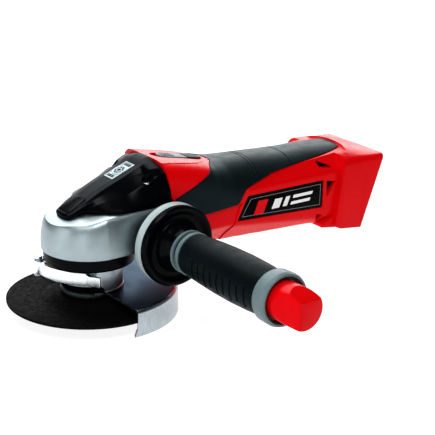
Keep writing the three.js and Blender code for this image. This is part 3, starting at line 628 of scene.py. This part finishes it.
# x and z of the joint between the gear head's parts and the body
FRONT_LINE = [(43.2, 110), (48, 74.4), (50, 72), (50, 10)]


def behind_front_line():
    return prism("y", rounded([*FRONT_LINE, (270, 10), (270, 110)], 1.5, 3), -FAR, FAR)


def side_openings():
    """Openings cut right through the shell's side."""
    triangle = rounded([(178.4, 77.4), (193.5, 70.8), (180.6, 72.2)], 0.6, 3)
    wedge = rounded([(184.2, 62.6), (193, 61.4), (184.8, 49.6)], 0.6, 3)
    notch = rounded([(176, 38), (182, 37), (177, 33.2)], 0.5, 3)
    return [prism("y", shape, -FAR, FAR) for shape in (triangle, wedge, notch)]


def housing():
    """Both red shells in one, before they are split at the middle."""
    body = cut(body_envelope(0, True), box(BODY_END, 300, -FAR, FAR, 0, 110))
    shell = join(body, foot_block(), cowl())
    front_recess = cut(
        prism("y", rounded([(30, 20), (95, 20), (98.6, 38), (105, 55.8), (111.5, 67), (111.5, 90), (30, 90)], 0.4, 2),
              -FAR, FAR), body_envelope(0.7, True))
    shell = common(shell, behind_front_line())
    shell = cut(shell, common(front_recess, prism("y", [(30, 20), (114, 20), (114, 60.4), (30, 56)], -FAR, FAR)))
    recess = cut(grip_region(-0.35), body_envelope(1.8, False))
    hollow = cut(body_envelope(3.6, True), on_foot(box(-12, 60, -FAR, FAR, -FAR, FAR)))
    rear = on_foot(box(0, 60, -FAR, FAR, -FAR, FAR))
    channel = on_foot(join(box(-8, 2, -21.5, 21.5, -17, 60), box(-8, -3.2, -25, 25, -17, 60)))
    channel = common(channel, box(150, 300, -FAR, FAR, 0, CHANNEL_ROOF))
    outer = prism("y", panel_outline(-0.5), PANEL_SEAT, FAR)
    inner = prism("y", panel_outline(-0.5), -FAR, -PANEL_SEAT)
    dish = prism("z", oblong(50.2, 91.6, 7), 80, 110)
    dish = cut(dish, prism("y", [(40, 60), (40, slide_floor(40)), (95, slide_floor(95)), (95, 60)], -FAR, FAR))
    slot = box(59.4, 72.5, -2.7, 2.7, 60, 110)
    return cut(shell, recess, hollow, rear, channel, outer, inner, dish, slot, *side_openings())


def ring_groove(top_x, side_x, width):
    """Side view of a groove that leans back as it goes down."""
    foot_x = side_x - (top_x - side_x) * 0.4
    outline = [(top_x, 88), (side_x, 58), (foot_x, 20),
               (foot_x + width, 20), (side_x + width, 58), (top_x + width, 88)]
    return prism("y", rounded(outline, 20, 8), -FAR, FAR)


def grips():
    """The rubber skin of both halves, with its three grooves."""
    skin = cut(body_envelope(-0.5, False), body_envelope(1.6, False))
    skin = common(skin, grip_region(0.05))
    grooves = [ring_groove(123.4, 114.6, 0.7), ring_groove(126.6, 117.8, 0.7), ring_groove(160, 149.5, 0.8)]
    floor = body_envelope(0.15, False)
    return cut(skin, *[cut(groove, floor) for groove in grooves])


def build_body():
    shell = housing()
    skin = grips()
    for side, word in ((1, "left"), (-1, "right")):
        piece(f"{word}_housing_shell", common(shell, half_space(side)), RED, f"housing_{word}")
        piece(f"{word}_grip_skin", common(skin, half_space(side)), RUBBER, f"grip_{word}")
        build_panel(side, word)


def build_panel(side, word):
    def slab(outline, low, high, edge=0.0):
        start, end = (low, high) if side > 0 else (-high, -low)
        made = prism("y", outline, start, end)
        return softened(made, edge, 2, 40) if edge else made

    def leaning(x0, x1, z0, z1):
        return [(x + LABEL_LEAN * (z - 49), z) for x, z in ((x0, z0), (x1, z0), (x1, z1), (x0, z1))]

    face = PANEL_FACE
    piece(f"{word}_label_plate", slab(rounded(panel_outline(0), 0.8, 3), PANEL_SEAT + 0.15, face, 0.25), GLOSS_BLACK,
          f"side_panel_{word}")
    frame_line = cut(slab(panel_outline(1.9), face - 0.2, face + 0.05), slab(panel_outline(2.35), 0, 40))
    trim(f"{word}_label_line", frame_line, GREY_INK, f"side_panel_{word}")
    tile = rounded(leaning(117.5, 126.5, 48.8, 59), 0.8, 3)
    trim(f"{word}_label_tile", slab(tile, face - 0.2, face + 0.06), RED, f"side_panel_{word}")
    bars = [(133, 140, 50.5, 57.5), (143, 147, 50.5, 57.5), (150, 168, 50.5, 52.8), (150, 168, 55.2, 57.5)]
    for i, bar in enumerate(bars):
        printed = slab(rounded(leaning(*bar), 0.3, 2), face - 0.2, face + 0.06)
        trim(f"{word}_label_bar_{i + 1}", printed, WHITE_INK, f"side_panel_{word}")


# ---- gear head -----------------------------------------------------------------------------------

HEAD_BOTTOM, HEAD_TOP, HEAD_REAR, HEAD_REAR_Y = 41.5, 70.6, 49.7, 30.5
# inset and height up the casting, at its nose and along its sides
NOSE_DOME = [(0, 47), (0.2, 51), (0.7, 55), (1.4, 59), (2.4, 62), (3.8, 64.3), (5.6, 65.6), (8, 66.4)]
SIDE_DOME = [(0, 47), (0.1, 52), (0.3, 57), (0.6, 61.5), (1.1, 65.5), (2, 68.4), (3.4, 70), (5.4, 70.6)]


def head_outline(inset):
    """Plan view: a round nose, then two sides that draw in a little towards the motor."""
    nose = [(x, y) for x, y in arc(HEAD_R - inset, 97, 263, 96)]
    side = [(HEAD_REAR, HEAD_REAR_Y - inset)]
    return side + nose + [(x, -y) for x, y in side]


def head_casting():
    foot_r = 1.2
    plan = head_outline(0)
    loops = [[(x, y, HEAD_BOTTOM + foot_r * (1 - math.cos(a))) for x, y in head_outline(foot_r * (1 - math.sin(a)))]
             for a in np.radians(np.linspace(0, 90, 5))]
    shares = [soft_step(x, -24, 4) for x, _ in plan]
    count = 26
    nose = spread(interpolate(np.linspace(0, 7, 80), range(8), NOSE_DOME), count)
    side = spread(interpolate(np.linspace(0, 7, 80), range(8), SIDE_DOME), count)
    for k in range(count):
        loop = []
        for (x, y), share in zip(plan, shares):
            inset, z = nose[k] + (side[k] - nose[k]) * share
            scale = 1 - inset / HEAD_R
            loop.append((x * scale if x < 0 else x, y * scale, z))
        loops.append(loop)
    top = loops[-1]
    for share in (0.85, 0.7, 0.5, 0.3, 0.02):
        loops.append([(x * share + 10 * (1 - share), y * share, HEAD_TOP + (z - HEAD_TOP) * share ** 1.5)
                      for x, y, z in top])
    body = loft(loops)
    bosses = [lathe("y", rounded([(0, s * 20, 0), (11.5, s * 20, 0), (11.5, s * 30, 2), (9.9, s * 32, 1),
                                  (9.9, s * 37.6, 0.6), (0, s * 37.6, 0)], steps=3), HANDLE_X, HANDLE_Z, 64)
              for s in (1, -1)]
    barrel = rod("x", 24, 24, HEAD_REAR, 0, MOTOR_Z, 64)
    sockets = [rod("y", 4.25, s * 20, s * 60, HANDLE_X, HANDLE_Z, 32) for s in (1, -1)]
    rooms = [rod("z", 21, 30, 63, 0, 0, 64), rod("x", 12.4, 0, 60, 0, MOTOR_Z, 48),
             rod("z", 32.4, 0, HEAD_BOTTOM, 0, 0, 96), rod("z", 4, 66, 90, -10, 0, 24)]
    nose_flat = prism("y", [(-40, 60.6), (-5, 70.2), (-5, 90), (-40, 90)], -FAR, FAR)
    return cut(join(softened(cut(body, nose_flat), 0.5, 3, 20), *bosses, barrel), *sockets, *rooms)


def build_gear_head():
    piece("gear_case", head_casting(), CASTING, "gear_head")
    rim = rounded([(12, 15.2), (20.4, 15.2, 0.8), (20.4, 33, 0.4), (30.6, 33, 1), (31.6, 34.4, 0.8),
                   (31.6, 41.2, 0.4), (16.1, 41.2), (16.1, 30.2), (12, 30.2)], steps=4)
    piece("bearing_plate", lathe("z", rim, sides=128), BLACK, "bearing_flange")


# ---- top cover -----------------------------------------------------------------------------------

# x, then (y, z) up one side: lower lip, shoulder, flank, spine foot, spine edge
COVER = [
    (-22.2, (4, 66.2), (4, 67.2), (3.8, 67.6), (3.5, 68), (2.5, 68.4)),
    (-20.5, (7.8, 66.4), (8.3, 67.6), (8.4, 68.1), (8.2, 68.9), (7.4, 69.9)),
    (-16, (9.2, 67.4), (9.6, 68.8), (9.6, 69.6), (9.3, 71), (8.7, 72.4)),
    (-12, (10.4, 68.6), (10.6, 70), (10.4, 71.2), (9.9, 73.2), (8.9, 74.9)),
    (-7.5, (12, 70), (12.2, 71.4), (11.6, 72.8), (10.6, 75.4), (9, 77.2)),
    (-4.5, (16.6, 70.2), (17, 71.6), (13, 74), (11.2, 77), (9.2, 78.8)),
    (3, (24.8, 70.7), (25.4, 72.6), (16.6, 76.2), (12, 80.2), (9.4, 82.5)),
    (12, (28, 70.9), (28.6, 73.4), (19.5, 78.6), (12.8, 83.5), (9.8, 86.3)),
    (21, (28.6, 70.9), (29.2, 73.6), (21.5, 82), (13, 86.6), (10, 89.6)),
    (29, (28.6, 70.9), (29.2, 74), (22.8, 85.8), (13.2, 89.6), (10.4, 92.6)),
    (33.5, (28.6, 70.9), (29.2, 75), (23.4, 87), (14, 91.2), (10.8, 94.4)),
    (38, (28.6, 70.9), (29.2, 77.5), (24.6, 90), (18.5, 94), (11, 96.4)),
    (43.5, (28.6, 70.9), (29.2, 79), (25, 91), (20.3, 94.6), (11, 97.2)),
    (54, (28.6, 70.9), (29.2, 79), (25, 91), (20.3, 94.6), (11, 97.2)),
]
COVER_RADII = (0.6, 1.2, 3.0, 1.4, 0.6)
CROWN, SPINE_DROP = 1.5, 0.8
BADGE_X, BADGE_Z, BADGE_SLOPE = 24.4, 91.1, math.radians(20.3)
COVER_SCREW = (33, 20.5)
SCREW_SEAT = 83.2


def cover_loops(wall):
    """Sections of the cover along x, moved in by a wall's thickness."""
    xs = np.concatenate([np.linspace(-22.2, -20.5, 5), np.arange(-19.6, 54, 1.2)])
    flat = [[c for point in row[1:] for c in point] for row in COVER]
    rows = interpolate(xs, [row[0] for row in COVER], flat)
    loops = []
    for x, row in zip(xs, rows):
        right = [(y - wall, z - wall * (1 if i else 3), COVER_RADII[i])
                 for i, (y, z) in enumerate(row.reshape(-1, 2))]
        right = [(max(y, 0.8), z, r) for y, z, r in right]
        right[-1] = (right[-1][0], right[-1][1] - SPINE_DROP * (1 - soft_step(x, 16, 34)), right[-1][2])
        left = [(-y, z, r) for y, z, r in reversed(right)]
        height = row[-1] - wall + CROWN * soft_step(x, 31, 44)
        half = max(0.4, 0.55 * right[-1][0])
        crown = [(half, height, 5), (-half, height, 5)]
        loops.append([(x, y, z) for y, z in rounded([*right, *crown, *left], steps=6)])
    return loops


def on_spine(mesh):
    """From the badge's own frame on the sloping spine to the part's."""
    turn = Matrix.Rotation(-BADGE_SLOPE, 4, "Y")
    return moved(mesh, Matrix.Translation((BADGE_X, 0, BADGE_Z)) @ turn)


def build_top_cover():
    shell = loft(cover_loops(0))
    hollow = cut(loft(cover_loops(2.2)), box(-30, -6, -40, 40, 0, 110))
    shell = cut(shell, hollow, rod("x", 24.9, 23.4, 60, 0, MOTOR_Z, 64))
    posts = [rod("z", 4.6, 74.3, 95, COVER_SCREW[0], s * COVER_SCREW[1], 32) for s in (1, -1)]
    shell = join(shell, *[common(post, loft(cover_loops(0.2))) for post in posts])
    badge_seat = on_spine(softened(box(-10.3, 10.3, -5.7, 5.7, -1.1, 6), 0.5, 2))
    wells = [rod("z", 3.3, SCREW_SEAT, 120, COVER_SCREW[0], s * COVER_SCREW[1], 40) for s in (1, -1)]
    button_well = prism("z", rounded([(-20.1, -7.2), (-20.1, 7.2), (-5.9, 7.2), (-5.9, -7.2)], 2.2, 5), 60, 110)
    rear = prism("y", [(-60, 120), (43.2 - GAP, 120), (43.2 - GAP, 110), (48 - GAP, 74.4), (48 - GAP, 60), (-60, 60)],
                 -FAR, FAR)
    shell = common(cut(shell, badge_seat, button_well, *wells), rear)
    cover = piece("cover_shell", shell, BLACK, "top_cover", 32)
    # the broad top of the spine, picked by its upward faces, gets the rougher slate plastic: its satin finish is
    # real, its lighter colour there is painted light falling on the top
    cover.data.materials.append(SPINE)
    for face in cover.data.polygons:
        x, y = face.center.x / MM, abs(face.center.y / MM)
        if face.normal.z > 0.72 and y < (9.6 if x < 32 else 9.6 + 1.2 * (x - 32)) and x > -21:
            face.material_index = 1
    for side, word in ((1, "left"), (-1, "right")):
        screw = rod("z", 2.9, SCREW_SEAT + 0.2, SCREW_SEAT + 2.8, COVER_SCREW[0], side * COVER_SCREW[1], 48, 0.7)
        cross = [box(-1.7, 1.7, -0.35, 0.35, 0, 10), box(-0.35, 0.35, -1.7, 1.7, 0, 10)]
        star = [shifted(bar, COVER_SCREW[0], side * COVER_SCREW[1], SCREW_SEAT + 1.4) for bar in cross]
        piece(f"cover_screw_{word}_head", cut(screw, *star), SATIN, f"cover_screw_{word}")


def build_badge():
    """A plain metal plate with a ball-bearing symbol."""
    plate = softened(box(-10, 10, -5.4, 5.4, -0.8, 0.1), 0.4, 3)
    plate = cut(plate, softened(box(-9.2, 9.2, -4.6, 4.6, -0.25, 2), 0.2, 1))
    rings = [lathe("z", rounded([(r0, -0.6), (r1, -0.6), (r1, 0.25), (r0, 0.25)], 0.15, 2), sides=64)
             for r0, r1 in ((3.9, 5.2), (1.5, 2.3))]
    balls = [shifted(rod("z", 0.5, -0.6, 0.3, 0, 0, 16, 0.2), *arc(3.1, a, a, 1)[0], 0) for a in range(0, 360, 45)]
    rings.append(rod("z", 5.2, -0.8, -0.1, 0, 0, 64))
    piece("badge_relief", on_spine(join(plate, *rings, *balls)), CASTING, "badge_plate")
    bars = [on_spine(box(x, x + 0.7, -3.4, 3.4, -0.4, 0.0)) for x in (-8.2, -6.9, 6.2, 7.5)]
    trim("badge_bars", join(*bars), SPINE, "badge_plate")
    centre = on_spine(rod("z", 1.5, -0.6, 0.15, 0, 0, 32))
    field = cut(rod("z", 3.9, -0.6, 0.02, 0, 0, 64), rod("z", 2.3, -1, 1, 0, 0, 64))
    trim("badge_field", on_spine(field), SPINE, "badge_plate")
    trim("badge_centre", centre, BLACK, "badge_plate")


def build_lock_button():
    side = prism("y", [(-19.8, 69.4), (-19.8, 70.5), (-6.2, 78.5), (-6.2, 74), (-12.6, 74)], -7, 7)
    plan = prism("z", rounded([(-19.8, -7), (-19.8, 7), (-6.2, 7), (-6.2, -7)], 2, 5), 60, 90)
    piece("lock_button_cap", softened(common(side, plan), 0.5, 3, 35), BLACK, "lock_button")


def build_slide_switch():
    slab = prism("z", oblong(55.2, 91, 5.8), 80, 110)
    band = prism("y", [(x, slide_floor(x) + rise) for x, rise in ((40, 0.4), (95, 0.4), (95, 2.8), (40, 2.8))],
                 -FAR, FAR)
    cap = softened(common(slab, band), 0.7, 3, 40)
    ribs = [shifted(rod("y", 0.75, -3.9, 3.9, 0, 0, 16, 0.4), x, 0, slide_floor(x) + 2.7)
            for x in (59, 61.4, 63.8, 66.2)]
    stalk = box(64.6, 72.1, -2.3, 2.3, 83, 92.6)
    split = shifted(box(-0.5, 0.5, -10, 10, 0, 10), 77.1, 0, slide_floor(77.1) + 1)
    rear = box(77, 100, -10, 10, 70, 110)
    whole = cut(join(cap, *ribs, stalk), split)
    piece("slide_button_cap", cut(whole, rear), GREY, "slide_button")
    trim("slide_button_rear", common(whole, rear), SPINE, "slide_button")


# ---- spindle end, disc and guard -----------------------------------------------------------------

def build_disc():
    profile = rounded([(11.2, 7), (24, 7, 6), (32, 4.2, 6), (DISC_R, 4.2, 0.4), (DISC_R, 6, 0.4), (33, 6, 6),
                       (25, 9.6, 6), (11.2, 9.6)], 0.2, 5)
    piece("disc_body", lathe("z", profile, sides=144), ABRASIVE, "grinding_disc")
    flange = rounded([(7.1, 7.2), (10.9, 7.2), (10.9, 9.9), (19.6, 9.9, 0.6), (20.5, 10.8, 0.5), (20.5, 13, 0.8),
                      (19.4, 14.3, 0.4), (7.1, 14.3)], 0.1, 3)
    piece("inner_flange_body", lathe("z", flange, sides=96), TURNED, "inner_flange")
    nut = lathe("z", rounded([(7.1, 0.3), (16.6, 0.3), (17.4, 1.4), (17.4, 3.4), (20, 3.6), (20, 6.7),
                              (7.1, 6.7)], 0.3, 3), sides=96)
    holes = [rod("z", 2.6, -3, 4.5, *arc(14, a, a, 1)[0], 32) for a in (0, 90, 180, 270)]
    piece("lock_nut_body", cut(nut, *holes), TURNED, "lock_nut")


# plan places of the lever's pin and line, its lowest and highest z, and x and z of the clamp's screw
LEVER_PIN, LEVER_SPAN = (-29, 19.5), (22.2, 31.4)
CLAMP_SCREW = (-24.8, 26.5)
LEVER_LINE = [(-29.4, 16.5), (-29.6, 9), (-28.9, 3), (-27.2, -3.4), (-24.4, -9.4), (-20.6, -14.8), (-15.8, -20),
              (-12.2, -24.2), (-9.2, -28.8)]


def build_guard():
    sheet, top, bottom = 1.6, 14.6, -4.2
    profile = rounded([(21.2, top - sheet), (GUARD_R - sheet, top - sheet, 2), (GUARD_R - sheet, bottom + 1),
                       (GUARD_R - sheet + 0.7, bottom + 0.4, 0.3), (GUARD_R + 0.1, bottom, 0.5),
                       (GUARD_R, bottom + 1.4, 0.5), (GUARD_R, top, 3), (21.2, top)], 0.2, 5)
    kept = rounded([(0, 24), (0, 1.8, 3), (-2.5, bottom, 0.5), (-2.5, -20), (80, -20), (80, 24)], 0, 5)
    shield = common(lathe("z", profile, sides=180), prism("y", kept, -FAR, FAR))
    guard = piece("guard_sheet_body", shield, SHEET, "guard_shield")
    # painted dark reflection: the sheet's upward faces get a darker copy of its own steel, standing in for the dark
    # surroundings they reflect; it is the same sheet as the skirt
    guard.data.materials.append(PAINTED_DARK_REFLECTION_SHEET)
    for face in guard.data.polygons:
        if face.normal.z > 0.9:
            face.material_index = 1
    sleeve = lathe("z", rounded([(20.8, 14.9), (22.6, 14.9), (22.6, 32.6), (20.8, 32.6)], 0.5, 3), sides=128)
    bead = lathe("z", rounded([(22, 14.9), (23.6, 14.9), (22, 16.6)], 0.3, 3), sides=128)
    plate = rounded([(-32, 15.6, 3), (-9, 15.6), (-9, 23.4), (-32, 23.4, 4)], 0, 5)
    lugs = [softened(prism("z", plate, z0, z1), 0.3, 2) for z0, z1 in ((20.4, 21.9), (31.7, 32.6))]
    ears = [softened(box(x0, x1, y0, y1, 22.6, 30.4), 0.6, 3)
            for x0, x1, y0, y1 in ((-27.6, -17, 13.4, 15), (-27.6, -18, 8.2, 11.4))]
    bore = rod("z", 20.8, -FAR, FAR, 0, 0, 128)
    split = box(-40, -12, 11.4, 13.4, 0, 60)
    gap = prism("y", rounded([(-40, 0), (-1.5, 0), (-1.5, 17, 3), (-5, 20.1, 3), (-40, 20.1)], 0, 5), -40, 40)
    collar = cut(join(sleeve, bead, *lugs, *ears), bore, split, gap, rod("z", 1.9, 0, 60, *LEVER_PIN, 32),
                 rod("y", 2.1, 7, 17, *CLAMP_SCREW, 32))
    piece("guard_collar_band", collar, STEEL, "guard_collar")
    screw = join(rod("y", 2.6, 5.4, 7.9, *CLAMP_SCREW, 48, 0.5), rod("y", 1.8, 7.8, 15.2, *CLAMP_SCREW, 32))
    hexagon = [(CLAMP_SCREW[0] + 1.4 * math.cos(a), CLAMP_SCREW[1] + 1.4 * math.sin(a))
               for a in np.radians(range(0, 360, 60))]
    piece("clamp_screw_body", cut(screw, prism("y", hexagon, 4, 6.8)), SATIN, "clamp_screw")
    line = spread(interpolate(np.linspace(0, 8, 90), range(9), LEVER_LINE), 64)
    along = np.gradient(line, axis=0)
    across = np.column_stack([-along[:, 1], along[:, 0]]) / np.linalg.norm(along, axis=1, keepdims=True)
    strap = prism("z", [tuple(p) for p in (*(line + 0.9 * across), *(line - 0.9 * across)[::-1])], *LEVER_SPAN)
    eye = rod("z", 4.2, *LEVER_SPAN, *LEVER_PIN, 48, 0.4)
    dropped_end = prism("x", rounded([(-60, 29.2), (-20.8, 29.2, 3), (-20.8, 60), (-60, 60)], 0, 4), -16, 5)
    lever = cut(join(softened(strap, 0.35, 3, 40), eye), dropped_end, rod("z", 1.9, 0, 60, *LEVER_PIN, 32))
    piece("clamp_lever_strap", lever, SATIN, "clamp_lever")
    pin = lathe("z", rounded([(0, 20.4, 0), (1.6, 20.4), (1.6, 32.8, 0), (2.9, 32.8), (2.9, 34.4, 0.7), (0, 34.4, 0)],
                             0.2, 3), *LEVER_PIN, 48)
    piece("lever_pin_body", pin, SATIN, "lever_pin")


# ---- side handle ---------------------------------------------------------------------------------

def on_handle(profile, sides=128):
    return lathe("y", profile, HANDLE_X, HANDLE_Z, sides)


# radius and y along the rubber sleeve, barrel shaped
SLEEVE = [(12.9, -69.3), (14.2, -69.3), (14.5, -71.5), (15.4, -85), (16.3, -102), (16.6, -120), (16.2, -136),
          (15.4, -150.9), (12.9, -150.9)]


def grip_pads(side):
    """Raised pads down one side of the sleeve, in a row."""
    outer = on_handle([(r + 0.55 if 0 < i < 8 else r, y) for i, (r, y) in enumerate(SLEEVE)])
    pads = []
    for k in range(9):
        start = -82 - 6.9 * k
        tall = 5.6 if k % 2 else 7.4
        centre = HANDLE_Z - 2
        outline = rounded([(start, centre - tall), (start, centre + tall), (start - 5, centre + tall),
                           (start - 5, centre - tall)], 1.2, 4)
        near, far = HANDLE_X + side * 6, HANDLE_X + side * 24
        pads.append(prism("x", outline, min(near, far), max(near, far)))
    return [common(outer, pad) for pad in pads]


def build_handle():
    light = rounded([(22.3, -38), (27, -38, 1), (28.2, -39.4, 0.8), (28.2, -43.2, 0.4), (27.6, -43.8, 0.3),
                     (27.9, -44.4, 0.3), (27.4, -45.5, 0.4), (22.3, -45.5)], 0.2, 4)
    piece("handle_flange_band", on_handle(light), GREY_LIGHT, "handle_flange_ring")
    core = rounded([(4.2, -38.3), (22, -38.3), (22, -45.8), (28, -45.8, 0.4), (28.2, -49, 1), (26.8, -50.5, 0.8),
                    (24.8, -50.3, 1), (21.5, -47.6, 3), (17.9, -48.2, 2), (16.6, -51.6, 1), (15.2, -54, 1.5),
                    (14.2, -56.4, 1), (13.2, -60.2, 0.5), (12.8, -62, 0.3), (12.6, -66), (12.6, -157.5),
                    (10.6, -157.5), (10.6, -66), (4.2, -66)], 0.1, 4)
    piece("handle_core_body", on_handle(core), BLACK, "handle_core")
    for name, start, end in (("inner", -60.6, -62.6), ("outer", -65.6, -69)):
        band = rounded([(12.5, start), (14.7, start, 0.6), (14.9, end, 0.6), (12.5, end)], 0.2, 4)
        trim(f"handle_{name}_ring", on_handle(band), GREY, "handle_core")
    sleeve = on_handle(rounded([(*p, 0.4 if i in (0, 8) else 1.5) for i, p in enumerate(SLEEVE)], steps=4))
    piece("handle_sleeve_body", join(sleeve, *grip_pads(1), *grip_pads(-1)), SLEEVE_RUBBER, "handle_sleeve")
    end = rounded([(12.9, -151.2), (16.4, -151.2, 0.6), (17.5, -153.2, 1), (17.8, -161.4, 1.5), (17, -164, 0.8),
                   (15.4, -164, 0.6), (14.8, -158, 1), (12.9, -157.5)], 0.2, 5)
    piece("handle_end_band", on_handle(end), GREY, "handle_end_ring")


def build_spanner_head():
    x, z, tip = HANDLE_X, HANDLE_Z, -184
    round_bar = rod("y", 13, tip, -157.9, x, z, 96, 0.7)
    flat = prism("z", rounded([(x - 4.6, tip - 3), (x - 4.6, tip), (x - 8.6, -174, 10), (x - 13.4, -165, 3),
                               (x - 20, -165), (x - 20, tip - 3)], 0, 6), 0, 100)
    chamfer = prism("x", [(tip - 1, z + 5), (tip + 11, z + 13.4), (tip + 11, z + 20), (tip - 1, z + 20)], 0, 100)
    notch = box(x - 1.8, x + 1.8, -164, -150, z - 9.8, z + 9.8)
    head = softened(cut(round_bar, flat, chamfer), 0.5, 3, 24)
    piece("spanner_grip", cut(head, notch), RED, "spanner_head")


# ---- floor, light and camera ---------------------------------------------------------------------

def build_stage():
    n = Nodes("pale_floor")
    n.link(n.ramp(n.noise(4, 3), [(0.3, 0.33), (0.7, 0.36)]), n.shader.inputs["Base Color"])
    n.link(n.ramp(n.noise(30, 3), [(0.3, 0.5), (0.7, 0.6)]), n.shader.inputs["Roughness"])
    n.set(Emission_Color=(1, 1, 1, 1), Emission_Strength=0.74, Specular_IOR_Level=0.05)
    half, floor_z = 6.0, cad_box[0].z - 0.0005
    mesh = bpy.data.meshes.new("floor")
    mesh.from_pydata([(-half, -half, floor_z), (half, -half, floor_z), (half, half, floor_z), (-half, half, floor_z)],
                     [], [(0, 1, 2, 3)])
    mesh.materials.append(n.material)
    floor = bpy.data.objects.new("floor", mesh)
    SCENE.collection.objects.link(floor)


def area_light(name, radiance, size, place, target):
    """A soft box that shows as a white card of the given radiance."""
    data = bpy.data.lights.new(name, "AREA")
    data.energy = radiance * math.pi * size[0] * size[1]
    data.shape, data.size, data.size_y = "RECTANGLE", size[0], size[1]
    item = bpy.data.objects.new(name, data)
    item.location = place
    item.rotation_mode = "QUATERNION"
    item.rotation_quaternion = (Vector(target) - Vector(place)).to_track_quat("-Z", "Y")
    SCENE.collection.objects.link(item)


def build_light():
    world = bpy.data.worlds.new("studio")
    world.use_nodes = True
    world.node_tree.nodes["Background"].inputs["Color"].default_value = (1, 1, 1, 1)
    world.node_tree.nodes["Background"].inputs["Strength"].default_value = 0.12
    SCENE.world = world
    middle = (0.08, 0, 0.05)
    area_light("overhead", 4.6, (1.0, 0.6), (0.1, 0.62, 1.1), middle)
    area_light("back_card", 2.6, (2.4, 1.0), (0.9, 1.3, 0.62), middle)
    area_light("front_key", 8.0, (0.45, 0.35), (-0.2, -0.42, 0.82), middle)
    area_light("front_strip", 6.0, (0.1, 0.4), (-0.78, -0.68, 0.2), middle)
    area_light("left_card", 1.3, (0.9, 0.8), (-1.25, 0.15, 0.42), middle)


# camera angles in degrees, distance in metres, lens and sensor in mm, and how far beside the origin it aims
AZIMUTH, ELEVATION, ROLL = map(math.radians, (-36.318406, 19.304565, 0.797318))
DISTANCE, LENS, SENSOR = 1.0, 120.28, 36
AIM_RIGHT, AIM_UP = 0.08754, 0.05351


def build_camera():
    back = Vector((math.sin(AZIMUTH) * math.cos(ELEVATION), -math.cos(AZIMUTH) * math.cos(ELEVATION),
                   math.sin(ELEVATION)))
    level = Vector((math.cos(AZIMUTH), math.sin(AZIMUTH), 0))
    upright = back.cross(level)
    right = level * math.cos(ROLL) + upright * math.sin(ROLL)
    up = upright * math.cos(ROLL) - level * math.sin(ROLL)
    data = bpy.data.cameras.new("camera")
    data.lens, data.sensor_width = LENS, SENSOR
    data.clip_start, data.clip_end = 0.05, 30
    item = bpy.data.objects.new("camera", data)
    item.rotation_mode = "QUATERNION"
    item.rotation_quaternion = Matrix((right, up, back)).transposed().to_quaternion()
    item.location = Vector((0, 0, 0.005)) + right * AIM_RIGHT + up * AIM_UP + back * DISTANCE
    SCENE.collection.objects.link(item)
    SCENE.camera = item


# ---- the scene -----------------------------------------------------------------------------------

SCENE.view_settings.view_transform = "Standard"
SCENE.view_settings.look = "Medium High Contrast"
build_camera()
build_stage()
build_light()
dress_frame()
build_body()
build_gear_head()
build_top_cover()
build_badge()
build_lock_button()
build_slide_switch()
build_disc()
build_guard()
build_handle()
build_spanner_head()
